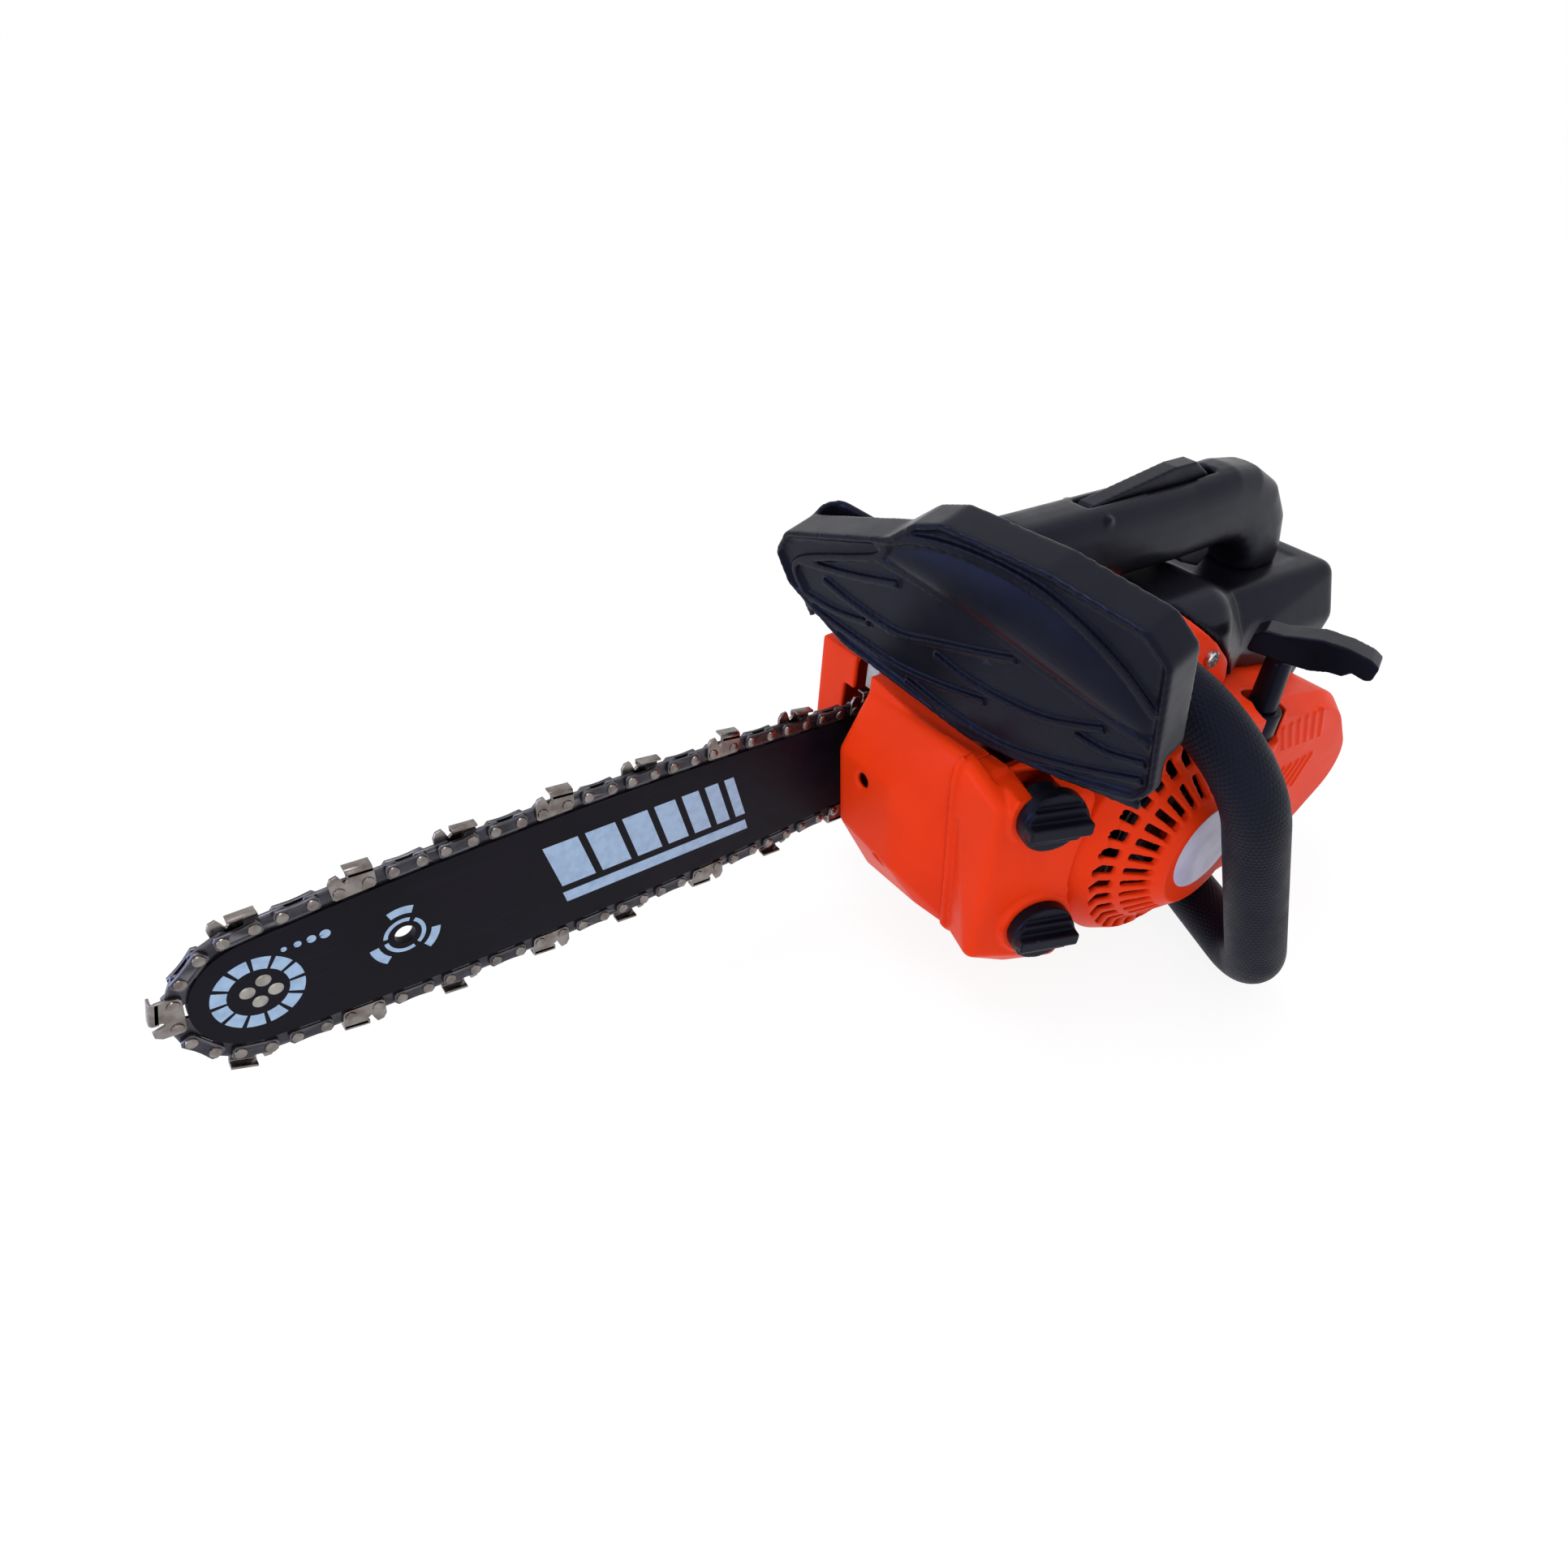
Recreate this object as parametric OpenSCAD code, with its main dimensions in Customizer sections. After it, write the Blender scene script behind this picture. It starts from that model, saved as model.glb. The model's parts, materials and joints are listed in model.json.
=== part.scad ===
// Top-handle chainsaw: 25 cc two-stroke engine, sprocket-nose bar, low-profile 3/8 inch chain.
// Millimetres. +X runs to the bar nose, +Y to the starter side, +Z up. The origin lies on the
// ground, straight under the crank axis and in the mid-plane of the cylinder.

/* [Engine] */
// Height of the crank axis above the ground
crank_h = 80; // [79:0.5:82]
// Cylinder bore
bore_d = 34; // [32:0.5:35]
// Piston stroke
stroke = 28; // [26:0.5:29]
// Connecting rod length between its eyes
rod_len = 46; // [45:0.5:47]
// Crankshaft journal diameter
shaft_d = 12; // [11:0.5:13]
// Spacing of the cooling fins
fin_pitch = 5; // [4.5:0.25:6]
// Clearance on the radius of every running fit
run_fit = 0.05; // [0.03:0.01:0.08]

/* [Bar and chain] */
// Chain pitch: half of the length over three rivets
pitch = 9.525; // [9.4:0.025:9.6]
// Number of drive links in the loop
drive_link_count = 44; // [40:2:52]
// Rivet spacing inside one drive link
drive_span = 8.94; // [8.7:0.02:9.2]
// Rivet circle of the nose sprocket
nose_r = 27.3; // [26.8:0.1:27.8]
// Rivet circle of the drive sprocket
drive_r = 18.2; // [17.8:0.1:18.6]
// Radius of the bar's bowed long edges at the rivets
bow_r = 1700; // [1500:50:2400]
// Depth from the rivet line to the bar's edge
strap_drop = 4.2; // [4:0.1:4.6]
// Bar thickness
bar_t = 4; // [3.6:0.1:4.2]
// Bar mid-plane, to the clutch side of the cylinder
bar_y = 48.5; // [48:0.5:50]
// Drive link gauge
gauge = 1.3; // [1.1:0.1:1.5]
// Thickness of tie straps and cutter plates
strap_t = 1.4; // [1.2:0.1:1.5]

/* [Casings] */
// Wall of the moulded casings
wall = 2.5; // [2:0.1:3]
// Radius of the fan housing
fan_r = 57; // [56:0.5:59]
// Reach of the starter casing from the mid-plane
starter_face = 87; // [85:0.5:90]
// Plane of the weld between the two tank shells
seam_y = 26; // [24:0.5:27]
// Diameter of both filler caps
cap_d = 28; // [26:0.5:29]

/* [Handles] */
// Height of the top handle's section
grip_h = 36; // [34:0.5:37]
// Width of the top handle's section
grip_w = 27; // [25:0.5:29]
// Diameter of the front handle's rubber sleeve
sleeve_d = 26; // [25:0.5:27]
// Diameter of the front handle's tube
tube_d = 18; // [17:0.5:19]
// Lean of the front handle, its foot to the rear
tube_lean = 22; // [20:0.5:23]

/* [Hidden] */
$fn = 64;

orange = "#E8431C";
black = "#202024";
steel = "#9A9890";
alloy = "#A8ABAD";
rubber = "#1B1B1D";

// ---------- crank train ----------
rise = crank_h - 80;                    // heights below are drawn for a crank at 80 mm
crank_r = stroke / 2;
bore_r = bore_d / 2;
shaft_r = shaft_d / 2;
pin_r = 4;                              // piston pin
crankpin_r = 5;
rod_t = 9;                              // big end width
eye_r = 10;                             // outside of the big end
web_gap = rod_t / 2 + 0.8;              // inner faces of the crank webs
web_t = 6;
web_r = 22;
chamber_r = crank_r + eye_r + 9;        // crank chamber
chamber_w = web_gap + web_t + 0.7;      // half its width
case_wall = 4;
case_r = chamber_r + case_wall;
case_w = chamber_w + case_wall;
bearing_r = shaft_r + 8;
bearing_w = 8;
boss_w = case_w + 7;                    // outer faces of the bearing bosses
pin_h = crank_h + crank_r + rod_len;    // piston pin at top dead centre
crown_h = 10;
skirt_h = 10;
deck_h = crank_h + chamber_r + 1;       // cylinder's seat on the crankcase
spigot_h = 8;
head_h = pin_h + crown_h + 1;           // roof of the combustion chamber
cylinder_top = head_h + 8;
liner_r = bore_r + 3.5;
fin_t = 1.6;
fin_x = 30;
fin_y = 25;
port_h = deck_h + 17;                   // height of both ports
port_r = 7;
port_x = fin_x + 6;                     // outer face of the exhaust flange
// ---------- fan side ----------
plate_y = boss_w + 3;                   // inner face of the fan housing's back plate
plate_t = 3;
housing_y = plate_y + plate_t;          // seam of the starter casing
flywheel_r = 46;
flywheel_y = housing_y + 2;
flywheel_t = 15;
pulley_r = 25;
pulley_y = flywheel_y + flywheel_t + 10;
pulley_t = 8;
post_r = 6;
rim_y = housing_y + 41;                 // where the casing's side turns into its face
lobe = [-96, -9, 45];                   // rear lobe circles: x, height from the crank, radius
tail = [-121, -12, 27];
// ---------- clutch side ----------
pad_y = -bar_y + bar_t / 2;             // bar's seat on the crankcase
drum_y = -bar_y - 5.5;                  // inner face of the drum's disc
drum_r = 30;
drum_t = 18;
cover_y = -81;                          // outer face of the clutch cover
cover_rim = -bar_y - bar_t / 2 - 0.5;
brake_pivot = [48, 144 + rise];                // hand guard hinge: x and height
ear_y = -75.5;                          // inner face of the guard's right ear
stud_x = [46, 72];
stud_r = 4;
// ---------- chain path ----------
loop_len = 2 * pitch * drive_link_count;
// Centre of the circle that bows one long edge, for nose centre distance l
function bow_x(l) = (l * l + pow(bow_r - drive_r, 2) - pow(bow_r - nose_r, 2)) / (2 * l);
function bow_z(l) = sqrt(pow(bow_r - drive_r, 2) - pow(bow_x(l), 2));
// Angles, from straight up towards the nose, at which the bow meets both circles
function drive_a(l) = -asin(bow_x(l) / (bow_r - drive_r));
function nose_a(l) = asin((l - bow_x(l)) / (bow_r - nose_r));
function nose_arc(l) = nose_r * (90 - nose_a(l)) * PI / 180;
function bow_arc(l) = bow_r * (nose_a(l) - drive_a(l)) * PI / 180;
function drive_arc(l) = drive_r * (90 + drive_a(l)) * PI / 180;
function half_loop(l) = nose_arc(l) + bow_arc(l) + drive_arc(l);
// The nose centre distance whose loop holds the whole chain
function solve_nose(low, high, n) = n == 0 ? (low + high) / 2
    : let (mid = (low + high) / 2) 2 * half_loop(mid) > loop_len
        ? solve_nose(low, mid, n - 1) : solve_nose(mid, high, n - 1);
nose_x = solve_nose(200, 600, 40);
bow_cx = bow_x(nose_x);
bow_cz = bow_z(nose_x);
// Half loop from the nose tip (s = 0) to the back of the drive sprocket: [x, z]
function half_path(s) =
    s < nose_arc(nose_x)
        ? let (a = s / nose_r * 180 / PI) [nose_x + nose_r * cos(a), nose_r * sin(a)]
    : s < nose_arc(nose_x) + bow_arc(nose_x)
        ? let (a = nose_a(nose_x) - (s - nose_arc(nose_x)) / bow_r * 180 / PI)
            [bow_cx + bow_r * sin(a), bow_r * cos(a) - bow_cz]
    : let (a = drive_a(nose_x)
            - (s - nose_arc(nose_x) - bow_arc(nose_x)) / drive_r * 180 / PI)
        [drive_r * sin(a), drive_r * cos(a)];
// Point at s along the loop; negative s runs back along the top
function loop_point(s) = let (t = s > loop_len / 2 ? s - loop_len : s, p = half_path(abs(t)))
    [p[0], t > 0 ? -p[1] : p[1]];
first_rivet = -302.9;                   // places one drive link square on the nose sprocket
function rivet_s(i) = first_rivet + 2 * pitch * floor(i / 2) + (i % 2) * drive_span;
function wrap(s) = s > loop_len / 2 ? s - loop_len : s < -loop_len / 2 ? s + loop_len : s;
function rivet(i) = loop_point(wrap(rivet_s(i)));
rivet_count = 2 * drive_link_count;
function turn(p, q) = atan2(q[1] - p[1], q[0] - p[0]);
hole_r = 1.6;
rivet_r = hole_r - 0.05;
plate_gap = gauge / 2 + 0.1;            // inner faces of the straps
strap_out = plate_gap + strap_t;

// ---------- shapes along an axis ----------
module bar_along_y(r, y0, y1, x = 0, z = crank_h)
    translate([x, y0, z]) rotate([-90, 0, 0]) cylinder(r = r, h = y1 - y0);
module bar_along_x(r, x0, x1, y = 0, z = crank_h)
    translate([x0, y, z]) rotate([0, 90, 0]) cylinder(r = r, h = x1 - x0);
// Profile in x and z, thick from y0 to y1
module slab_y(y0, y1) translate([0, y1, 0]) rotate([90, 0, 0]) linear_extrude(y1 - y0) children();
// Profile in y and z, thick from x0 to x1
module slab_x(x0, x1)
    translate([x0, 0, 0]) rotate([90, 0, 90]) linear_extrude(x1 - x0) children();
module block(low, high) translate(low) cube(high - low);
// Rounded block: outline in x and y, upright edges rounded
module soft_block(low, high, r)
    translate([low[0] + r, low[1] + r, low[2]]) linear_extrude(high[2] - low[2])
        offset(r) square([high[0] - low[0] - 2 * r, high[1] - low[1] - 2 * r]);
module ball(p, r) translate(p) sphere(r = r, $fn = 24);
// Ring of points round centre c: half sizes a along u and b along v, squareness e
function ring(c, u, v, a, b, e = 3, n = 28) = [for (i = [0:n - 1])
    let (t = 360 * i / n, p = cos(t), q = sin(t))
        c + u * a * sign(p) * pow(abs(p), 2 / e) + v * b * sign(q) * pow(abs(q), 2 / e)];
// Solid through rings of equal length
module loft(rings) {
    n = len(rings[0]);
    m = len(rings);
    polyhedron(
        points = [for (r = rings) each r],
        faces = concat(
            [[for (k = [0:n - 1]) k]],
            [[for (k = [0:n - 1]) (m - 1) * n + n - 1 - k]],
            [for (i = [0:m - 2]) for (k = [0:n - 1])
                [i * n + k, (i + 1) * n + k, (i + 1) * n + (k + 1) % n]],
            [for (i = [0:m - 2]) for (k = [0:n - 1])
                [i * n + k, (i + 1) * n + (k + 1) % n, i * n + (k + 1) % n]]));
}

// ---------- crankcase ----------
module case_body() {
    bar_along_y(case_r, -case_w, case_w);
    block([-26, -case_w - 4, crank_h], [26, case_w + 4, deck_h]);
    for (s = [-1, 1]) bar_along_y(bearing_r + 3, min(s * boss_w, 0), max(s * boss_w, 0));
    for (x = [-24, 14]) block([x, -case_w, crank_h - 42], [x + 10, case_w, crank_h - 20]);
}
module case_hollow() {
    bar_along_y(chamber_r, -chamber_w, chamber_w);
    bar_along_y(bearing_r, -boss_w + 1, boss_w - 1);
    bar_along_y(shaft_r + 1, -boss_w - 1, boss_w + 1);
    block([-60, -60, deck_h], [60, 60, deck_h + 20]);
    translate([0, 0, crank_h]) cylinder(r = liner_r + 0.1, h = deck_h - crank_h + 1);
}
module starter_outline(inset = 0) translate([0, crank_h]) hull() {
    circle(r = fan_r - inset, $fn = 96);
    translate([lobe[0], lobe[1]]) circle(r = lobe[2] - inset);
    translate([tail[0], tail[1]]) circle(r = tail[2] - inset);
}
module crankcase_left() color(alloy) {
    difference() {
        case_body();
        case_hollow();
        block([-60, -60, 0], [60, 0, 200]);
    }
    difference() {
        union() {
            slab_y(plate_y, housing_y) starter_outline();
            bar_along_y(bearing_r + 3, boss_w, plate_y);
        }
        bar_along_y(shaft_r + 3, boss_w - 1, housing_y + 1);
    }
}
module crankcase_right() color(alloy) {
    difference() {
        case_body();
        case_hollow();
        block([-60, 0, 0], [60, 60, 200]);
    }
    difference() {
        union() {
            // bar seat and the web that carries it
            block([34, pad_y, crank_h - 15], [88, pad_y + 6.5, crank_h + 15]);
            block([30, pad_y, crank_h - 15], [40, -case_w + 2, crank_h + 15]);
        }
        bar_along_y(case_r - 0.5, -case_w, case_w);
        for (x = stud_x) bar_along_y(stud_r, pad_y - 10, pad_y + 10, x);
    }
}
module main_bearings() color(steel) for (s = [-1, 1]) difference() {
    bar_along_y(bearing_r - 0.02, s > 0 ? boss_w - 1 - bearing_w : 1 - boss_w,
        s > 0 ? boss_w - 1 : 1 - boss_w + bearing_w);
    bar_along_y(shaft_r + run_fit, -boss_w, boss_w);
}
module crankshaft() color(steel) {
    for (s = [-1, 1]) bar_along_y(web_r, min(s * web_gap, s * (web_gap + web_t)),
        max(s * web_gap, s * (web_gap + web_t)));
    bar_along_y(shaft_r, web_gap + web_t - 1, flywheel_y + flywheel_t - 4);
    bar_along_y(shaft_r - 2, flywheel_y + flywheel_t - 5, flywheel_y + flywheel_t + 5);
    bar_along_y(shaft_r, drum_y - drum_t + 4, -web_gap - web_t + 1);
}
module crankpin() color(steel)
    bar_along_y(crankpin_r, -web_gap + 0.3, web_gap - 0.3, 0, crank_h + crank_r);
module connecting_rod() color(steel) difference() {
    union() {
        bar_along_y(eye_r, -rod_t / 2, rod_t / 2, 0, crank_h + crank_r);
        bar_along_y(7, -4, 4, 0, pin_h);
        block([-4, -2.5, crank_h + crank_r + 4], [4, 2.5, pin_h - 4]);
    }
    bar_along_y(crankpin_r + run_fit, -rod_t, rod_t, 0, crank_h + crank_r);
    bar_along_y(pin_r + run_fit, -rod_t, rod_t, 0, pin_h);
}
module piston() color(alloy) difference() {
    translate([0, 0, pin_h - skirt_h]) cylinder(r = bore_r - run_fit, h = skirt_h + crown_h);
    translate([0, 0, pin_h - skirt_h - 1]) cylinder(r = bore_r - 3, h = skirt_h + crown_h - 2);
    bar_along_y(pin_r + 0.02, -bore_r, bore_r, 0, pin_h);
    for (z = [2.2, 5.2]) translate([0, 0, pin_h + crown_h - z - 1.2])
        difference() {
            cylinder(r = bore_r + 1, h = 1.3);
            translate([0, 0, -1]) cylinder(r = bore_r - 1.6, h = 4);
        }
}
module piston_pin() color(steel) difference() {
    bar_along_y(pin_r, -bore_r + 2.5, bore_r - 2.5, 0, pin_h);
    bar_along_y(pin_r - 1.5, -bore_r, bore_r, 0, pin_h);
}
module piston_rings() color(steel) for (z = [2.2, 5.2])
    translate([0, 0, pin_h + crown_h - z - 1.15]) difference() {
        cylinder(r = bore_r - 0.02, h = 1.2);
        translate([0, 0, -1]) cylinder(r = bore_r - 1.55, h = 4);
        block([bore_r - 2, -0.3, -1], [bore_r + 1, 0.3, 3]);
    }
module cylinder_node() color(alloy) difference() {
    union() {
        translate([0, 0, deck_h - spigot_h]) cylinder(r = liner_r, h = cylinder_top - deck_h + 4);
        soft_block([-25, -21, deck_h], [25, 21, deck_h + 4], 4);
        for (z = [deck_h + 8:fin_pitch:cylinder_top - 1])
            soft_block([-fin_x, -fin_y, z], [fin_x, fin_y, z + fin_t], 7);
        block([16, -13, port_h - 10], [port_x, 13, port_h + 10]);
        block([-port_x + 4, -13, port_h - 10], [-16, 13, port_h + 10]);
        translate([0, 0, cylinder_top - 6]) cylinder(r = 9, h = 6);
    }
    translate([0, 0, deck_h - spigot_h - 1])
        cylinder(r = bore_r, h = head_h - deck_h + spigot_h + 1);
    bar_along_x(port_r, 0, port_x + 1, 0, port_h);
    bar_along_x(port_r - 0.5, -port_x - 1, 0, 0, port_h);
    translate([0, 0, head_h - 1]) cylinder(r = 5, h = 20);
}
module spark_plug() color(steel) {
    translate([0, 0, head_h + 0.5]) cylinder(r = 4.95, h = cylinder_top - head_h - 0.5);
    translate([0, 0, cylinder_top]) cylinder(r = 7.5, h = 5, $fn = 6);
}
module plug_cap() color(rubber) {
    translate([0, 0, cylinder_top + 5]) cylinder(r = 6.5, h = 3.5);
    block([-30, -4, cylinder_top + 5.5], [3, 4, cylinder_top + 8.5]);
}

// ---------- exhaust and intake ----------
muffler_low = [port_x, -41, deck_h - 2];
muffler_high = [74, 13, deck_h + 36];
module muffler() color(steel) {
    difference() {
        union() {
            soft_block(muffler_low, muffler_high, 6);
            soft_block([muffler_high[0] - 12, -46.5, deck_h + 6],
                [muffler_high[0] + 10, -37, deck_h + 20], 2);
        }
        soft_block(muffler_low + [1.2, 1.2, 1.2], muffler_high - [1.2, 1.2, 1.2], 5);
        bar_along_x(port_r, port_x - 5, port_x + 5, 0, port_h);
        bar_along_x(5, 70, 80, -30, deck_h + 22);
    }
    // spark screen behind the outlet
    difference() {
        bar_along_x(8, 71, 72.8, -30, deck_h + 22);
        bar_along_x(5, 70, 80, -30, deck_h + 22);
    }
}
manifold_x = -port_x + 4;               // intake flange of the cylinder
carb_x = manifold_x - 16;
carb_len = 26;
base_x = carb_x - carb_len;             // filter base's front face
module intake_manifold() color(rubber) difference() {
    union() {
        block([manifold_x - 3, -13, port_h - 10], [manifold_x, 13, port_h + 10]);
        bar_along_x(10, carb_x, manifold_x - 2, 0, port_h);
    }
    bar_along_x(port_r - 0.5, carb_x - 1, manifold_x + 1, 0, port_h);
}
throttle_x = carb_x - 7;
choke_x = carb_x - 20;
module carburettor() color(alloy) difference() {
    block([base_x, -15, port_h - 15], [carb_x, 15, port_h + 14]);
    bar_along_x(port_r - 0.5, base_x - 1, carb_x + 1, 0, port_h);
    bar_along_y(2 + run_fit, -20, 20, throttle_x, port_h);
    bar_along_y(2 + run_fit, -20, 20, choke_x, port_h);
}
// Butterfly plate, tipped from the bore's cross-section, on its shaft
module butterfly(x, y0, y1, tip) {
    bar_along_y(2, y0, y1, x, port_h);
    translate([x, 0, port_h]) rotate([0, tip, 0])
        rotate([0, 90, 0]) translate([0, 0, -0.5]) cylinder(r = port_r - 0.7, h = 1);
}
module throttle_shaft() color(steel) {
    butterfly(throttle_x, -17, 19, 0);
    block([throttle_x - 3, 16, port_h - 3], [throttle_x + 3, 18, port_h + 12]);
}
module choke_lever() color(black) {
    butterfly(choke_x, -44, 15.8, 80);
    block([choke_x - 4, -47.5, port_h - 4], [choke_x + 16, -43.5, port_h + 4]);
}
filter_t = 24;
module filter_base() color(black) difference() {
    intersection() {
        filter_form(wall);
        block([base_x - 3, -60, 60], [base_x, 60, 200]);
    }
    side_hollow(wall);
    bar_along_x(port_r - 0.5, base_x - 4, base_x + 1, 0, port_h);
}
module air_filter() color("#D8D2B8") difference() {
    block([base_x - 3 - filter_t, -24, port_h - 26], [base_x - 3, 22, port_h + 16]);
    block([base_x - filter_t + 2, -19, port_h - 21], [base_x - 2, 17, port_h + 11]);
}

// ---------- filter cover and cylinder cover ----------
box_top = 158 + rise;
module filter_form(t) hull() {
    for (y = [-28, 24]) ball([-141, y, box_top - 8], 8 - t);
    for (y = [-34, 30]) ball([-142, y, box_top - 26], 8 - t);
    for (y = [-30, 26]) ball([-134, y, box_top - 62], 8 - t);
    for (y = [-22, 18]) ball([-66, y, box_top - 10], 8 - t);
    for (y = [-32, 28]) ball([-66, y, box_top - 26], 8 - t);
    for (y = [-28, 22]) ball([-66, y, box_top - 50], 8 - t);
}
// Finger hollow in the cover's left side and the way of the fan housing
module side_hollow(t) {
    translate([-84, 68, box_top - 12]) sphere(r = 36 + t, $fn = 48);
    slab_y(plate_y - 0.5 - t, 90) starter_outline(-0.5 - t);
}
cover_top = cylinder_top + 12;
module cover_blobs(t) {
    for (x = [-38, 24]) for (y = [-22, 26]) ball([x, y, cover_top - 18], 18 - t);
    for (x = [-42, 26]) for (y = [-24, 30]) translate([x, y, deck_h + 5])
        cylinder(r = 17 - t, h = 8, $fn = 32);
}
module cover_form(t) hull() cover_blobs(t);
// The filter cover's hood, which takes the place of the cylinder cover's upper rear
hood_x = -72;
module hood_form(t) hull() {
    cover_blobs(t);
    for (y = [-22, 18]) ball([hood_x, y, box_top - 10], 8 - t);
    for (y = [-32, 28]) ball([hood_x, y, box_top - 26], 8 - t);
    for (y = [-28, 22]) ball([hood_x, y, box_top - 50], 8 - t);
}
module hood_region(gap) {
    slab_y(0, 80) offset(delta = gap) polygon([[-7, cover_top + 9], [-7, cover_top + 1],
        [-33, cover_top - 18], [-53, cover_top - 36], [-61, cover_top - 47], [hood_x, cover_top - 58],
        [hood_x, cover_top + 9]]);
    slab_y(-80, 0) offset(delta = gap) polygon([[-7, cover_top + 9], [-7, cover_top + 1],
        [-33, cover_top - 18], [-48, cover_top - 32], [hood_x, cover_top - 32],
        [hood_x, cover_top + 9]]);
}
module filter_cover() color(black) difference() {
    union() {
        difference() {
            filter_form(0);
            block([-70, -60, 60], [-50, 60, 200]);
        }
        intersection() {
            hood_form(0);
            hood_region(0);
        }
    }
    difference() {
        union() {
            filter_form(wall);
            hood_form(wall);
        }
        side_hollow(wall);
    }
    side_hollow(0);
    // seat of the top handle's rear leg
    block([-134, -16, box_top - 1], [-90, 16, box_top + 20]);
}
fin_top = deck_h + 8 + floor((cylinder_top - deck_h - 9) / fin_pitch) * fin_pitch + fin_t;
module cylinder_cover() color(orange) difference() {
    union() {
        difference() {
            cover_form(0);
            cover_form(wall);
        }
        // posts that rest on the top fin
        for (y = [-18, 18]) translate([3, y, fin_top])
            cylinder(r = 3.5, h = cover_top - 1.5 - fin_top);
    }
    slab_y(plate_y - 0.4, 90) starter_outline(-0.4);
    block([-80, -60, 0], [60, 60, deck_h + 6]);
    // open front, way for the intake and slots for warm air
    block([9, -60, 60], [60, 60, 200]);
    block([-70, -30, deck_h], [-45, 30, port_h + 16]);
    for (x = [-24:8:0]) translate([x, -60, deck_h + 24]) cube([4, 30, 14]);
    hood_region(0.4);
}

// ---------- flywheel and starter ----------
module flywheel() color(alloy) difference() {
    union() {
        bar_along_y(flywheel_r, flywheel_y, flywheel_y + 4);
        bar_along_y(13, flywheel_y, flywheel_y + flywheel_t - 4);
        for (a = [0:30:359]) translate([0, 0, crank_h]) rotate([0, a, 0])
            block([22, flywheel_y + 3, -1.2], [flywheel_r - 1, flywheel_y + flywheel_t, 1.2]);
        bar_along_y(24, flywheel_y + 3, flywheel_y + 8);
    }
    bar_along_y(shaft_r + 0.02, flywheel_y - 1, flywheel_y + 30);
}
module flywheel_nut() color(steel) difference() {
    translate([0, flywheel_y + flywheel_t - 4, crank_h]) rotate([-90, 0, 0])
        cylinder(r = 8, h = 6, $fn = 6);
    bar_along_y(shaft_r - 1.98, flywheel_y, flywheel_y + 40);
}
module ignition_coil() color(black) {
    difference() {
        block([-82, housing_y, crank_h - 16], [-42, housing_y + 10, crank_h + 16]);
        bar_along_y(flywheel_r + 0.6, housing_y - 1, housing_y + 20);
        block([-58, housing_y - 1, crank_h - 9], [-40, housing_y + 20, crank_h + 9]);
    }
    block([-80, housing_y + 10, crank_h - 12], [-62, housing_y + 18, crank_h + 12]);
}
guide_x = -56;
guide_y = 62;
guide_top = 119 + rise;
collar_h = 14;
collar_z = guide_top + 3 - collar_h;    // seat of the rope guide's collar
module starter_form(t) hull() {
    slab_y(housing_y - (t > 0 ? 1 : 0), rim_y - 8) starter_outline(t);
    slab_y(rim_y - 8, rim_y - t) starter_outline(6 + t);
}
// Domed face over the pulley
module starter_dome(t) translate([0, rim_y - 6, crank_h]) rotate([-90, 0, 0])
    cylinder(r1 = fan_r - 3 - t, r2 = 25 - t, h = starter_face - rim_y + 6 - t);
slot_step = 11;
module starter_housing() color(orange) difference() {
    union() {
        difference() {
            union() {
                starter_form(0);
                starter_dome(0);
            }
            starter_form(wall);
            starter_dome(wall);
            for (a = [-110:slot_step:110]) translate([0, 0, crank_h]) rotate([0, -a, 0]) {
                block([29, rim_y - 12, -1.7], [39, starter_face + 1, 1.7]);
                block([41.5, rim_y - 12, -2.3], [fan_r - 6, starter_face + 1, 2.3]);
            }
        }
        bar_along_y(post_r, pulley_y, starter_face - 1);
        translate([guide_x, guide_y, collar_z - 5]) cylinder(r = 12, h = collar_h + 5);
    }
    translate([guide_x, guide_y, guide_top - 30]) cylinder(r = 6.05, h = 40);
    // notch round the rope guide's collar, open at the face
    translate([guide_x, guide_y, collar_z]) cylinder(r = 10.3, h = 40);
    block([guide_x - 13, rim_y, collar_z], [guide_x + 13, starter_face, collar_z + 60]);
}
module starter_pulley() color(black) difference() {
    union() {
        bar_along_y(pulley_r + 3, pulley_y, pulley_y + 1.5);
        bar_along_y(pulley_r - 6, pulley_y, pulley_y + pulley_t);
        bar_along_y(pulley_r + 3, pulley_y + pulley_t - 1.5, pulley_y + pulley_t);
        bar_along_y(11, pulley_y - 3, pulley_y + 1);
    }
    bar_along_y(post_r + run_fit, pulley_y - 10, pulley_y + 20);
}
spring_turns = 5;
function spiral(r0, r1, n) = [for (i = [0:n])
    let (a = 360 * spring_turns * i / n, r = r0 + (r1 - r0) * i / n) [r * cos(a), r * sin(a)]];
module recoil_spring() color(steel) translate([0, pulley_y + pulley_t + 0.5, crank_h])
    rotate([-90, 0, 0]) linear_extrude(5)
        polygon(concat(spiral(post_r, 19, 120),
            [for (i = [120:-1:0]) spiral(post_r + 0.9, 19.8, 120)[i]]));
module rope_guide() color(black) difference() {
    union() {
        translate([guide_x, guide_y, guide_top - 21]) cylinder(r = 6, h = 21);
        translate([guide_x, guide_y, collar_z]) cylinder(r = 9, h = collar_h);
    }
    translate([guide_x, guide_y, guide_top - 25]) cylinder(r = 2.2, h = 35);
}
rope_r = 1.75;
module starter_rope() color("#E8E4D8") translate([guide_x, guide_y, guide_top + 0.5])
    cylinder(r = rope_r, h = 20);
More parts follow.
